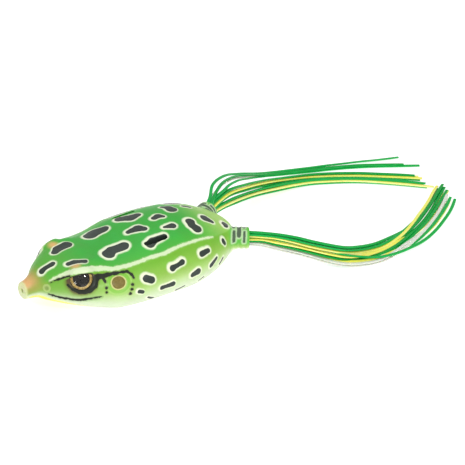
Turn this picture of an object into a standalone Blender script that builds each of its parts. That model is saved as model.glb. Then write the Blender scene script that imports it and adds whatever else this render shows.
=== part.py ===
"""Hollow-body frog lure: a soft hollow skin with a narrow snout and two leg sockets, a concealed
double hook that tilts up through slits in the back, a keel weight, set-in eyes and two rubber skirts.

Units are metres. X runs from snout to tail, Y to the frog's right, Z up. The origin is under the
middle of the body, on the plane that its flat belly rests on.
Run with: blender --background --python part.py
"""
import bmesh
import bpy
import numpy as np

MM = 0.001

# ---- driving dimensions, in millimetres; a station is a distance back from the tip of the snout ----
OVERALL = 59.5                  # snout tip to the rear edge of the leg sockets
BODY_LENGTH = 57.8              # snout tip to the tail end of the body
TAIL_ROUND = 17.0               # length over which the tail rounds off
TAIL_POWER = 2.3                # 2 would be an ellipse
SECTION_POWER = 2.15            # cross-sections are slightly squarer than an ellipse
WIDEST = 0.42                   # height of the widest line, as a share of the section's height
WIDTHS = [(0, 2.0), (1.2, 2.15), (2.8, 2.9), (5, 5.2), (9, 9.0), (14, 12.0),
          (21, 13.9), (29, 14.8), (38, 14.5), (46, 13.1), (54, 10.8)]
TOPS = [(0, 9.1), (1.2, 9.5), (2.8, 10.4), (5, 12.0), (9, 13.6), (14, 14.0),
        (21, 14.2), (29, 15.9), (38, 16.5), (46, 16.2), (54, 14.6)]
BOTTOMS = [(0, 5.1), (1.2, 5.0), (2.8, 5.0), (5, 4.1), (9, 2.8), (14, 1.4),
           (21, -0.2), (29, -0.25), (38, -0.2), (46, 0.7), (54, 2.2)]
WALLS = [(3.0, 1.5), (6, 1.4), (9, 2.4), (16, 2.4), (22, 1.3), (56.3, 1.3)]
BROW_STATION, BROW_LENGTH, BROW_Y, BROW_WIDTH, BROW_HEIGHT = 12.4, 4.2, 6.6, 2.4, 1.4

SNOUT_Z = 7.1                   # height of the line hole
LINE_HOLE_RADIUS = 0.55

EYE_STATION, EYE_Y, EYE_Z = 11.1, 8.8, 11.4
EYE_FACING = (-0.36, 0.79, 0.50)
IRIS_RADIUS, IRIS_THICKNESS = 2.6, 0.6
LENS_HEIGHT, EYE_PROUD = 0.9, 0.35
GAP = 0.3                       # clearance that touching pieces keep

SPLAY = 31.0                    # degrees that each leg socket points outward
SOCKET_RADIUS, SOCKET_Y, SOCKET_Z, SOCKET_ROOT = 2.7, 8.8, 9.05, 8.0
SOCKET_BORE = 2.3
MOUTH_STATION = OVERALL - SOCKET_RADIUS * np.sin(np.radians(SPLAY))
RIGHT_DEEPER = 1.2              # the right socket is shorter by this
MOUTH_RADIUS = 1.95             # the bundle's rounded end, at the socket's mouth
ROOT_LENGTH, ROOT_RADIUS = 5.4, 1.3
BAND_START, BAND_LENGTH, BAND_INNER, BAND_OUTER = 2.2, 1.6, 1.6, 2.0

HOOK_WIRE = 0.55
HOOK_EYE_STATION, HOOK_EYE_RADIUS, HOOK_EYE_WIRE = 7.0, 1.15, 0.45
HOOK_ROUTE = [(8.0, 0.42, 7.1), (11, 0.45, 7.0), (15, 0.45, 6.7), (20, 0.45, 6.2), (26, 0.45, 5.5),
              (30.5, 0.8, 4.7), (34.3, 2.0, 3.9), (37.4, 3.7, 3.8), (39.5, 5.2, 4.7),
              (40.2, 6.2, 6.3), (39.3, 6.9, 8.0), (37.4, 7.3, 9.4), (34.8, 7.5, 10.9), (30.6, 7.5, 13.4)]
POINT_LENGTH = 4.2              # length over which the wire sharpens to the point
BARB_BACK, BARB_LENGTH, BARB_HEIGHT = 2.6, 1.3, 0.5

SLIT_STATION, SLIT_LENGTH, SLIT_WIDTH = 33.0, 7.0, 1.8

WEIGHT_STATION, WEIGHT_Z = 21.5, 5.2
WEIGHT_SIZE = (12.0, 7.2, 5.8)

STRAND_WIDTH, STRAND_THICKNESS = 0.8, 0.35
STRAND_CLEAR = 2.3              # each strand starts this far from the middle of the mouth
STRAND_RINGS = 24
LANE, LAYER = 0.88, 0.45        # spacing of strands that lie beside and on each other

# ---- colours: base colour, roughness, metallic ----
SKIN_GREEN = ((0.16, 0.48, 0.10), 0.28, 0.0)
STEEL = ((0.35, 0.35, 0.37), 0.25, 1.0)
LEAD = ((0.28, 0.28, 0.30), 0.55, 0.8)
GOLD_IRIS = ((0.70, 0.48, 0.12), 0.35, 0.2)
CLEAR_LENS = ((0.85, 0.85, 0.80), 0.05, 0.0)
BLACK_RUBBER = ((0.03, 0.03, 0.03), 0.6, 0.0)
GREEN_RUBBER = ((0.01, 0.36, 0.08), 0.4, 0.0)
YELLOW_RUBBER = ((0.86, 0.74, 0.06), 0.4, 0.0)
CLEAR_RUBBER = ((0.78, 0.80, 0.74), 0.3, 0.0)
COLOURS = {"green": GREEN_RUBBER, "yellow": YELLOW_RUBBER, "clear": CLEAR_RUBBER}

# ---- the skirts: each lock is a few strands that lie together along one route ----
# A route's points are (distance behind the mouth, distance outward from it, height above the floor).
# A place in a lock is (lane, layer) from its middle, lanes counting outward and layers upward.
PLACES = {1: [(0, 0)],
          3: [(-0.5, -0.5), (0.5, -0.5), (-0.5, 0.5)],
          4: [(-0.5, -0.5), (0.5, -0.5), (-0.5, 0.5), (0.5, 0.5)],
          5: [(-0.5, -1), (0.5, -1), (-0.5, 0), (0.5, 0), (0, 1)]}
LOCKS = [
    {"name": "left_inner", "side": -1,
     "strands": ["green", "yellow", "green", "green", "green"],
     "route": [(0, 0, 10.18), (2.3, 1.8, 10.17), (5.9, 3.7, 9.56), (9.6, 5.5, 8.47), (13.4, 7.2, 7.03),
               (17.6, 8.3, 5.37), (22.3, 8.8, 3.56), (27.8, 8.2, 1.99), (33.4, 7.6, 1.08), (39.4, 6.3, 0.77),
               (48.5, 2.5, 0.72), (53.3, -0.6, 0.72), (58.7, -4.5, 0.71), (63.1, -8, 0.71), (66.9, -10.8, 0.71)]},
    {"name": "left_stray", "side": -1,
     "strands": ["green"],
     "route": [(0, 0, 9.28), (2.7, 1.2, 9.15), (5.9, 3.7, 8.55), (9.6, 5.5, 7.41), (13.6, 7, 5.93),
               (17.6, 8.4, 4.31), (21.5, 9.9, 2.86), (25.5, 11.4, 1.83), (29.5, 13, 1.34), (34.2, 13.5, 1.17),
               (40.1, 12.4, 0.81), (46.8, 9.9, 0.3), (52, 7.2, 0.29), (56.2, 4.5, 0.29), (61.1, 1, 0.29),
               (65.9, -3.3, 0.28)]},
    {"name": "left_middle", "side": -1,
     "strands": ["green", "green", "yellow", "yellow"],
     "route": [(0, 0, 8.6), (2.6, 1.4, 8.48), (5.7, 4, 7.88), (9.4, 5.8, 6.73), (13.3, 7.3, 5.23),
               (17.4, 8.7, 3.57), (21.7, 9.8, 2.04), (26.4, 10.2, 1.06), (31.5, 10.2, 0.63), (37.3, 9.2, 0.5),
               (44.2, 6.7, 0.48), (50.5, 3.6, 0.48), (57, -0.8, 0.48), (62.7, -5.3, 0.48), (67.4, -9, 0.48)]},
    {"name": "left_outer", "side": -1,
     "strands": ["green", "clear", "yellow", "clear"],
     "route": [(0, 0, 7.7), (2.3, 1.8, 7.51), (5.6, 4.3, 6.66), (9.4, 5.9, 5.32), (13.3, 7.4, 3.74),
               (17.1, 9.2, 2.22), (20.8, 11.1, 1.13), (24.9, 12.4, 0.62), (29.4, 13.1, 0.49), (35.1, 12.2, 0.48),
               (40.7, 10.4, 0.48), (46.6, 8, 0.48), (51.8, 5.2, 0.48), (56.7, 1.9, 0.48), (62.2, -2.4, 0.48),
               (65.6, -5.4, 0.48)]},
    {"name": "right_stray", "side": 1,
     "strands": ["green"],
     "route": [(-1.3, -0.3, 10.62), (2.4, 3.6, 10.62), (7.7, 8.55, 10.5), (12.1, 11.6, 9.5), (20.3, 16.3, 6.1),
               (27.2, 18.75, 3.45), (33.1, 19.55, 2), (38.4, 19.4, 1.25), (43.1, 18.5, 1), (47.8, 17.5, 0.88),
               (52.3, 16.3, 0.8), (57.2, 15.6, 0.45), (61.1, 14.6, 0.3), (64.2, 13.7, 0.29), (67.6, 12.8, 0.29)]},
    {"name": "right_outer", "side": 1,
     "strands": ["green", "clear", "green"],
     "route": [(-1, -0.6, 10.4), (2.7, 3.3, 10.4), (8, 8.2, 10.22), (12.4, 11.2, 9.17), (20.6, 15.9, 5.77),
               (27.4, 18.3, 3.13), (33.2, 19.1, 1.66), (38.4, 19, 0.88), (43, 18, 0.66), (47.6, 16.9, 0.51),
               (51.8, 15.4, 0.5), (56, 13.6, 0.5), (60, 11.6, 0.49), (63.8, 9.5, 0.49), (67.3, 7.6, 0.49)]},
    {"name": "right_middle", "side": 1,
     "strands": ["green", "green", "yellow", "yellow", "green"],
     "route": [(-1, -0.6, 9.28), (3.8, 2.5, 9.21), (8.7, 5.5, 8.71), (15.8, 8.6, 7.05), (23.4, 12.3, 4.52),
               (30.2, 14.6, 2.52), (35.6, 15, 1.56), (40.6, 14.5, 1), (44.9, 13, 0.81), (48.8, 11.1, 0.72),
               (52.6, 8.8, 0.72), (56.1, 6.3, 0.71), (61.4, 2.4, 0.71), (65.4, -0.8, 0.71)]},
    {"name": "right_inner", "side": 1,
     "strands": ["green", "yellow", "yellow", "green", "green"],
     "route": [(-1, -0.6, 7.92), (3.1, 1.4, 7.75), (7.5, 3.6, 7.04), (15.1, 7.4, 5.23), (22.3, 10.6, 3.27),
               (28.7, 12.4, 1.83), (34.2, 12.8, 1.12), (39, 12.2, 0.79), (43.2, 10.5, 0.74), (47.1, 8.6, 0.7),
               (50.8, 6.3, 0.7), (54.2, 3.7, 0.7), (59.2, -0.5, 0.7), (64, -4.9, 0.7)]},
]

ORIGIN = np.array([OVERALL / 2, 0.0, 0.0])


# ---- helpers ----
def metres(points):
    """Points given as (station, y, z) in millimetres, in the part's own frame in metres."""
    return (np.asarray(points, float) - ORIGIN) * MM


def remove_all():
    for thing in list(bpy.data.objects):
        bpy.data.objects.remove(thing, do_unlink=True)


def material(name, look):
    colour, roughness, metallic = look
    made = bpy.data.materials.get(name) or bpy.data.materials.new(name)
    made.use_nodes = True
    shader = made.node_tree.nodes["Principled BSDF"]
    shader.inputs["Base Color"].default_value = (*colour, 1.0)
    shader.inputs["Roughness"].default_value = roughness
    shader.inputs["Metallic"].default_value = metallic
    return made


def add_object(name, vertices, faces, look=None, parent=None, smooth_angle=40.0):
    """A mesh object from points in metres, with its faces turned outward."""
    mesh = bpy.data.meshes.new(name)
    mesh.from_pydata([tuple(point) for point in vertices], [], faces)
    work = bmesh.new()
    work.from_mesh(mesh)
    bmesh.ops.recalc_face_normals(work, faces=work.faces)
    work.to_mesh(mesh)
    work.free()
    mesh.shade_smooth()
    mesh.set_sharp_from_angle(angle=np.radians(smooth_angle))
    made = bpy.data.objects.new(name, mesh)
    bpy.context.collection.objects.link(made)
    if look:
        mesh.materials.append(material(name, look))
    if parent:
        made.parent = parent
        made.matrix_parent_inverse = parent.matrix_world.inverted()
    return made


def add_pivot(name, place):
    """An empty on a joint's axis, which the moving pieces hang from."""
    pivot = bpy.data.objects.new(name, None)
    pivot.empty_display_size = 0.003
    pivot.location = metres(place)
    bpy.context.collection.objects.link(pivot)
    bpy.context.view_layer.update()
    return pivot


def loft(rings, close_start="fan", close_end="fan"):
    """Vertices and faces of a closed solid through rings of equal count; ends are fans or flat faces."""
    count = len(rings[0])
    vertices = [point for ring in rings for point in ring]
    faces = []
    for row in range(len(rings) - 1):
        for i in range(count):
            j = (i + 1) % count
            faces.append((row * count + i, row * count + j, (row + 1) * count + j, (row + 1) * count + i))
    for ring, start, kind in ((rings[0], 0, close_start), (rings[-1], (len(rings) - 1) * count, close_end)):
        loop = [start + i for i in range(count)]
        if kind == "flat":
            faces.append(tuple(loop))
        else:
            vertices.append(np.mean(ring, axis=0))
            centre = len(vertices) - 1
            faces += [(loop[i], loop[(i + 1) % count], centre) for i in range(count)]
    return vertices, faces


def turned(profile, segments, base, axis):
    """A solid of revolution: profile points are (distance along the axis, radius), in millimetres."""
    along = np.array(axis, float) / np.linalg.norm(axis)
    side = np.cross(along, (0.0, 0.0, 1.0) if abs(along[2]) < 0.9 else (0.0, 1.0, 0.0))
    side /= np.linalg.norm(side)
    other = np.cross(along, side)
    turns = np.linspace(0, 2 * np.pi, segments, endpoint=False)
    return [metres([np.array(base) + along * reach + radius * (side * np.cos(a) + other * np.sin(a))
                    for a in turns]) for reach, radius in profile]


def smooth(points, stations):
    """A curve through (station, value) points that never overshoots them."""
    x, v = np.array(points, float).T
    slope = np.diff(v) / np.diff(x)
    tangent = np.empty_like(v)
    same_way = slope[1:] * slope[:-1] > 0
    mean = 2 * slope[1:] * slope[:-1] / (slope[1:] + slope[:-1] + 1e-30)
    tangent[1:-1] = np.where(same_way, mean, 0.0)
    tangent[0], tangent[-1] = slope[0], slope[-1]
    s = np.clip(stations, x[0], x[-1])
    i = np.clip(np.searchsorted(x, s, side="right") - 1, 0, len(x) - 2)
    h = x[i + 1] - x[i]
    t = (s - x[i]) / h
    return (v[i] * (1 + 2 * t) * (1 - t) ** 2 + tangent[i] * h * t * (1 - t) ** 2
            + v[i + 1] * t * t * (3 - 2 * t) - tangent[i + 1] * h * t * t * (1 - t))


def spline(points, step):
    """Points about one step apart on a smooth curve through the given points, with their distances."""
    p = np.array(points, float)
    t = np.concatenate([[0], np.cumsum(np.linalg.norm(np.diff(p, axis=0), axis=1))])
    h = np.diff(t)[:, None]
    slope = np.diff(p, axis=0) / h
    tangent = np.empty_like(p)
    tangent[1:-1] = (slope[:-1] * h[1:] + slope[1:] * h[:-1]) / (h[:-1] + h[1:])
    tangent[0] = 1.5 * slope[0] - 0.5 * tangent[1]
    tangent[-1] = 1.5 * slope[-1] - 0.5 * tangent[-2]
    u = np.linspace(0, t[-1], int(round(t[-1] / step)) + 1)
    i = np.clip(np.searchsorted(t, u, side="right") - 1, 0, len(t) - 2)
    x = ((u - t[i])[:, None]) / h[i]
    curve = (p[i] * (1 + 2 * x) * (1 - x) ** 2 + tangent[i] * h[i] * x * (1 - x) ** 2
             + p[i + 1] * x * x * (3 - 2 * x) - tangent[i + 1] * h[i] * x * x * (1 - x))
    return curve, u


def unit(rows):
    return rows / np.linalg.norm(rows, axis=-1, keepdims=True)


def tube(route, radii, segments, step):
    """Rings of a round tube along a route in millimetres; radii are (distance from the end, radius)."""
    curve, along = spline(route, step)
    radius = np.interp(along[-1] - along, *np.array(radii).T)
    tangent = unit(np.gradient(curve, axis=0))
    side = unit(np.cross(tangent, (0.0, 0.0, 1.0)))
    other = np.cross(side, tangent)
    turns = np.linspace(0, 2 * np.pi, segments, endpoint=False)
    return [metres([c + r * (n * np.cos(a) + b * np.sin(a)) for a in turns])
            for c, r, n, b in zip(curve, radius, side, other)]


def boolean(target, operation, cutter, keep_cutter=False):
    """An exact Boolean on the target; the other object becomes a hidden guide."""
    change = target.modifiers.new(cutter.name, "BOOLEAN")
    change.operation = operation
    change.object = cutter
    change.solver = "EXACT"
    cutter.hide_render = True
    cutter.display_type = "WIRE"


# ---- the body ----
def section(stations, inset=0.0, angles=48, start=0.0):
    """Rings of the body's cross-sections, set in by a wall thickness that may vary along the body."""
    stations = np.asarray(stations, float)
    length = BODY_LENGTH - (np.max(inset) if np.ndim(inset) else inset) * (1 if start else 0)
    round_start = BODY_LENGTH - TAIL_ROUND
    share = np.clip((stations - round_start) / (length - round_start), 0, 1)
    shrink = (1 - share ** TAIL_POWER) ** (1 / TAIL_POWER)
    width = smooth(WIDTHS, stations) - inset
    top, bottom = smooth(TOPS, stations), smooth(BOTTOMS, stations)
    middle = bottom + WIDEST * (top - bottom)
    above, below = (top - middle - inset) * shrink, (middle - bottom - inset) * shrink
    rings = []
    for k, s in enumerate(stations):
        turn = np.linspace(0, 2 * np.pi, angles, endpoint=False)
        c, d = np.cos(turn), np.sin(turn)
        y = width[k] * shrink[k] * np.sign(c) * np.abs(c) ** (2 / SECTION_POWER)
        rise = np.where(d > 0, above[k], below[k])
        z = middle[k] + rise * np.sign(d) * np.abs(d) ** (2 / SECTION_POWER)
        if not start:
            ridge = np.exp(-((s - BROW_STATION) / BROW_LENGTH) ** 2
                           - ((np.abs(y) - BROW_Y) / BROW_WIDTH) ** 2)
            z = z + BROW_HEIGHT * ridge * np.sqrt(np.clip(d, 0, 1))
            z = np.maximum(z, 0.0)
        rings.append(metres(np.stack([np.full(angles, s), y, z], axis=1)))
    return rings


def tail_stations(first, last, count):
    """Stations that crowd together towards the rounded tail."""
    return first + (last - first) * np.sin(np.linspace(0, np.pi / 2, count))


def socket_frame(side):
    """The middle of a leg socket's mouth, and the direction that the socket points in."""
    splay = np.radians(SPLAY)
    axis = np.array([np.cos(splay), side * np.sin(splay), 0.0])
    return np.array([MOUTH_STATION, side * SOCKET_Y, SOCKET_Z]) - axis * (RIGHT_DEEPER if side > 0 else 0), axis


def body_skin():
    """The one-piece soft skin: hollow, with both leg sockets, the line hole and the two hook slits."""
    round_start = BODY_LENGTH - TAIL_ROUND
    front = np.concatenate([[0, 0.9, 1.9, 2.9, 4, 5.3], np.linspace(6.8, round_start, 17)])
    rear = tail_stations(round_start, BODY_LENGTH - 0.03, 11)[1:]
    skin = add_object("body_skin", *loft(section(np.concatenate([front, rear])), "flat", "fan"),
                      look=SKIN_GREEN)

    last = BODY_LENGTH - 1.4
    inner = np.concatenate([[3.1, 3.9, 4.9, 6.0], np.linspace(8, round_start, 13),
                            tail_stations(round_start, last, 8)[1:]])
    walls = smooth(WALLS, inner)
    cavity = add_object("cavity_cutter", *loft(section(inner, walls, angles=32, start=3.1)))

    for side, name in ((-1, "left"), (1, "right")):
        mouth, axis = socket_frame(side)
        profile = [(-SOCKET_ROOT, SOCKET_RADIUS), (-0.5, SOCKET_RADIUS), (-0.15, SOCKET_RADIUS - 0.13),
                   (0.0, SOCKET_RADIUS - 0.45)]
        socket = add_object(name + "_socket_guide", *loft(turned(profile, 28, mouth, axis)))
        boolean(skin, "UNION", socket)
    boolean(skin, "DIFFERENCE", cavity)
    for side, name in ((-1, "left"), (1, "right")):
        mouth, axis = socket_frame(side)
        bore = add_object(name + "_bore_cutter",
                          *loft(turned([(-SOCKET_ROOT - 2, SOCKET_BORE), (1, SOCKET_BORE)], 24, mouth, axis)))
        boolean(skin, "DIFFERENCE", bore)
        eye, facing = eye_frame(side)
        recess = add_object(name + "_eye_cutter", *loft(turned(
            [(EYE_PROUD - IRIS_THICKNESS - LENS_HEIGHT - 2 * GAP, IRIS_RADIUS + GAP), (3, IRIS_RADIUS + GAP)],
            28, eye, facing)))
        boolean(skin, "DIFFERENCE", recess)
        slit = add_box(name + "_slit_cutter", (SLIT_STATION, side * HOOK_ROUTE[-1][1], HOOK_ROUTE[-1][2] + 2.6),
                       (SLIT_LENGTH, SLIT_WIDTH, 8.0))
        boolean(skin, "DIFFERENCE", slit)
    line_hole = add_object("line_hole_cutter", *loft(turned(
        [(-1, LINE_HOLE_RADIUS), (4, LINE_HOLE_RADIUS)], 16, (0, 0, SNOUT_Z), (1, 0, 0))))
    boolean(skin, "DIFFERENCE", line_hole)
    return skin


def add_box(name, centre, size):
    half = np.array(size) / 2
    corners = [(x, y) for x, y in ((-1, -1), (1, -1), (1, 1), (-1, 1))]
    rings = [metres([np.array(centre) + half * (x, y, z) for x, y in corners]) for z in (-1, 1)]
    return add_object(name, *loft(rings, "flat", "flat"))


# ---- the eyes ----
def eye_frame(side):
    facing = np.array([EYE_FACING[0], side * EYE_FACING[1], EYE_FACING[2]])
    return np.array([EYE_STATION, side * EYE_Y, EYE_Z]), unit(facing)


def eyes():
    """A gold iris disc and a clear domed lens in each eye socket."""
    for side, name in ((-1, "left"), (1, "right")):
        eye, facing = eye_frame(side)
        lens_back = EYE_PROUD - LENS_HEIGHT
        iris_back = lens_back - GAP - IRIS_THICKNESS
        iris = turned([(iris_back, IRIS_RADIUS), (iris_back + IRIS_THICKNESS, IRIS_RADIUS)], 28, eye, facing)
        add_object(name + "_eye_iris", *loft(iris), look=GOLD_IRIS)
        rim = 0.25
        dome = [(lens_back, IRIS_RADIUS), (lens_back + rim, IRIS_RADIUS)]
        dome += [(lens_back + rim + (LENS_HEIGHT - rim) * np.sin(t), IRIS_RADIUS * np.cos(t))
                 for t in np.linspace(0, np.pi / 2, 6)[1:-1]]
        add_object(name + "_eye_lens", *loft(turned(dome, 28, eye, facing)), look=CLEAR_LENS)


# ---- the hook and its weight ----
def hook_half(side):
    """One wire: shank, bend and barbed point, with the barb as a small cone along the wire."""
    route = [(s, side * y, z) for s, y, z in HOOK_ROUTE]
    radii = [(0.0, 0.04), (POINT_LENGTH, HOOK_WIRE), (200.0, HOOK_WIRE)]
    wire = add_object("hook_wire_guide_%d" % side, *loft(tube(route, radii, 12, 1.6)))
    tip, before = np.array(route[-1]), np.array(route[-2])
    back = unit(before - tip)
    lift = unit(np.cross(np.cross(back, (0, 0, 1.0)), back))
    foot = tip + back * BARB_BACK
    barb = add_object("hook_barb_guide_%d" % side, *loft(turned(
        [(0.0, 0.05), (BARB_LENGTH, BARB_HEIGHT), (BARB_LENGTH + 0.25, 0.05)], 8,
        foot - lift * -0.1, unit(back + lift * 0.28))))
    return wire, barb


def double_hook(pivot):
    """The eye, and two wires that run back together and part into two upturned points."""
    turns = np.linspace(0, 2 * np.pi, 24, endpoint=False)
    small = np.linspace(0, 2 * np.pi, 10, endpoint=False)
    middle = np.array([HOOK_EYE_STATION, 0.0, SNOUT_Z])
    rings = [metres([middle + (HOOK_EYE_RADIUS + HOOK_EYE_WIRE * np.cos(b))
                     * np.array([np.cos(a), 0.0, np.sin(a)]) + (0.0, HOOK_EYE_WIRE * np.sin(b), 0.0)
                     for b in small]) for a in turns]
    count = len(small)
    faces = [(row * count + i, row * count + (i + 1) % count,
              (row + 1) % len(turns) * count + (i + 1) % count, (row + 1) % len(turns) * count + i)
             for row in range(len(turns)) for i in range(count)]
    hook = add_object("double_hook", [point for ring in rings for point in ring], faces,
                      look=STEEL, parent=pivot)
    for side in (-1, 1):
        for guide in hook_half(side):
            boolean(hook, "UNION", guide)
    return hook


def keel_weight(pivot):
    """An egg-shaped weight moulded round the two shanks, ahead of the bends."""
    half = np.array(WEIGHT_SIZE) / 2
    turns = np.linspace(0, 2 * np.pi, 24, endpoint=False)
    rings = []
    for t in np.linspace(0.12, np.pi - 0.12, 13):
        rings.append(metres([(WEIGHT_STATION - half[0] * np.cos(t), half[1] * np.sin(t) * np.cos(a),
                              WEIGHT_Z + half[2] * np.sin(t) * np.sin(a)) for a in turns]))
    weight = add_object("keel_weight", *loft(rings), look=LEAD, parent=pivot)
    shank, _ = spline(HOOK_ROUTE, 1.0)
    run = shank[(shank[:, 0] > WEIGHT_STATION - half[0] - 2) & (shank[:, 0] < WEIGHT_STATION + half[0] + 3)]
    tall = HOOK_WIRE + GAP + 0.05
    tunnel = [metres([(s, (y + HOOK_WIRE + GAP) * np.cos(a), z + tall * np.sin(a)) for a in turns])
              for s, y, z in run[::2]]
    boolean(weight, "DIFFERENCE", add_object("shank_cutter", *loft(tunnel)))


# ---- the skirts ----
def skirt_mount(side, name):
    """What stays in the socket: the gathered root of the skirt, and the band that ties it."""
    mouth, axis = socket_frame(side)
    neck = BAND_START + BAND_LENGTH + GAP
    profile = [(-ROOT_LENGTH, ROOT_RADIUS + 0.3), (-neck, ROOT_RADIUS + 0.3), (-neck + 0.1, ROOT_RADIUS),
               (-BAND_START + 0.2, ROOT_RADIUS), (-BAND_START + 0.5, MOUTH_RADIUS), (0.0, MOUTH_RADIUS)]
    profile += [(MOUTH_RADIUS * np.sin(t), MOUTH_RADIUS * np.cos(t))
                for t in np.linspace(0, np.pi / 2, 6)[1:-1]]
    add_object(name + "_skirt_root", *loft(turned(profile, 24, mouth, axis)), look=GREEN_RUBBER)

    ring = [(-BAND_START, BAND_OUTER), (-BAND_START - BAND_LENGTH, BAND_OUTER),
            (-BAND_START - BAND_LENGTH, BAND_INNER), (-BAND_START, BAND_INNER)]
    loops = turned(ring, 24, mouth, axis)
    count = len(loops[0])
    faces = [(row * count + i, row * count + (i + 1) % count,
              (row + 1) % 4 * count + (i + 1) % count, (row + 1) % 4 * count + i)
             for row in range(4) for i in range(count)]
    add_object(name + "_skirt_band", [point for loop in loops for point in loop], faces, look=BLACK_RUBBER)


def strand_rings(lock, place):
    """Rings of one flat strand that keeps its place in its lock along the lock's route."""
    side = lock["side"]
    route = [(MOUTH_STATION + back, side * (SOCKET_Y + out), height) for back, out, height in lock["route"]]
    curve, along = spline(route, 0.5)
    tangent = unit(np.gradient(curve, axis=0))
    outward = unit(np.stack([tangent[:, 1], -tangent[:, 0], np.zeros(len(curve))], axis=1)) * -side
    upward = np.cross(tangent, outward) * side
    lane, layer = place
    middle = curve + lane * LANE * outward + layer * LAYER * upward
    start = np.argmax(along >= STRAND_CLEAR)
    rows = np.linspace(start, len(curve) - 1, STRAND_RINGS).astype(int)
    corners = [(-1, -1), (1, -1), (1, 1), (-1, 1)]
    return [metres([middle[k] + x * STRAND_WIDTH / 2 * outward[k] + z * STRAND_THICKNESS / 2 * upward[k]
                    for x, z in corners]) for k in rows]


def skirts():
    for side, name in ((-1, "left"), (1, "right")):
        skirt_mount(side, name)
        mouth, _ = socket_frame(side)
        pivot = add_pivot(name + "_leg_pivot", mouth)
        for lock in (lock for lock in LOCKS if lock["side"] == side):
            for number, colour in enumerate(lock["strands"]):
                place = PLACES[len(lock["strands"])][number]
                add_object("%s_strand_%d_%s" % (lock["name"], number + 1, colour),
                           *loft(strand_rings(lock, place), "flat", "flat"),
                           look=COLOURS[colour], parent=pivot, smooth_angle=30.0)


def main():
    remove_all()
    body_skin()
    eyes()
    hook_pivot = add_pivot("hook_pivot", (HOOK_EYE_STATION, 0.0, SNOUT_Z))
    double_hook(hook_pivot)
    keel_weight(hook_pivot)
    skirts()


main()
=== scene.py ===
"""Hollow-body frog lure, lying on its belly on a pale studio floor.

Shapes are worked out in millimetres: station (distance back from the tip of the snout), y (the frog's
right) and z (up). metres() turns them into the frame's own coordinates. An angle round the body is in
degrees from the top of the back, positive towards the frog's left.
"""

import bpy
import numpy as np
from mathutils import Matrix
from mathutils.bvhtree import BVHTree
from mathutils.kdtree import KDTree


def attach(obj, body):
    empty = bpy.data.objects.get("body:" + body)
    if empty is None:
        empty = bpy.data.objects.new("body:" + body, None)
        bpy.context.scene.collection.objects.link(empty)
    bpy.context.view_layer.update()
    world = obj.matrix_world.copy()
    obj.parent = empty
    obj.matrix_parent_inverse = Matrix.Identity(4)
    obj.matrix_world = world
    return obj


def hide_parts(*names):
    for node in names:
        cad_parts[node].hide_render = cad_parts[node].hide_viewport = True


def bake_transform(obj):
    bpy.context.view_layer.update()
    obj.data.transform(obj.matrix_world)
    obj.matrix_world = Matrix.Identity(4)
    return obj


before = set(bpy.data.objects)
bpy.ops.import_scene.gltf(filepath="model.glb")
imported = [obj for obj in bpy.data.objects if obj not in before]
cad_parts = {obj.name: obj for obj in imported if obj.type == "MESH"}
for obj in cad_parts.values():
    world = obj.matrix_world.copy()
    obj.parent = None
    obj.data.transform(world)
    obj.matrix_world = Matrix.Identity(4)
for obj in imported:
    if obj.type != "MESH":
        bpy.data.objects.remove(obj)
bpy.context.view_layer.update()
SCENE = bpy.context.scene
RANDOM = np.random.default_rng(7)

# ---- the body's dimensions, as in the CAD ----
OVERALL, BODY_LENGTH, TAIL_ROUND = 59.5, 57.8, 17.0
TAIL_POWER, SECTION_POWER, WIDEST = 2.3, 2.15, 0.42
WIDTHS = [(0, 2.0), (1.2, 2.15), (2.8, 2.9), (5, 5.2), (9, 9.0), (14, 12.0),
          (21, 13.9), (29, 14.8), (38, 14.5), (46, 13.1), (54, 10.8)]
TOPS = [(0, 9.1), (1.2, 9.5), (2.8, 10.4), (5, 12.0), (9, 13.6), (14, 14.0),
        (21, 14.2), (29, 15.9), (38, 16.5), (46, 16.2), (54, 14.6)]
BOTTOMS = [(0, 5.1), (1.2, 5.0), (2.8, 5.0), (5, 4.1), (9, 2.8), (14, 1.4),
           (21, -0.2), (29, -0.25), (38, -0.2), (46, 0.7), (54, 2.2)]
WALLS = [(3.0, 1.5), (6, 1.4), (9, 2.4), (16, 2.4), (22, 1.3), (56.3, 1.3)]
SNOUT_Z, LINE_HOLE_RADIUS = 7.1, 0.55
EYE, EYE_FACING = (11.1, 8.8, 11.4), (-0.36, 0.79, 0.50)
LENS_RADIUS, LENS_HEIGHT, EYE_PROUD = 2.6, 0.9, 0.35
IRIS_THICKNESS, GAP = 0.6, 0.3
SPLAY = np.radians(31.0)
SOCKET_RADIUS, SOCKET_BORE, SOCKET_Y, SOCKET_Z, SOCKET_ROOT = 2.7, 2.3, 8.8, 9.05, 8.0
MOUTH_STATION = OVERALL - SOCKET_RADIUS * np.sin(SPLAY)
RIGHT_DEEPER = 1.2
BAND_START, BAND_LENGTH, BAND_INNER, BAND_OUTER = 2.2, 1.6, 1.6, 2.0
# the slits that the hook's points come out of
SLIT_Y, SLIT_HALF_WIDTH = 7.48, 0.72

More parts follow.
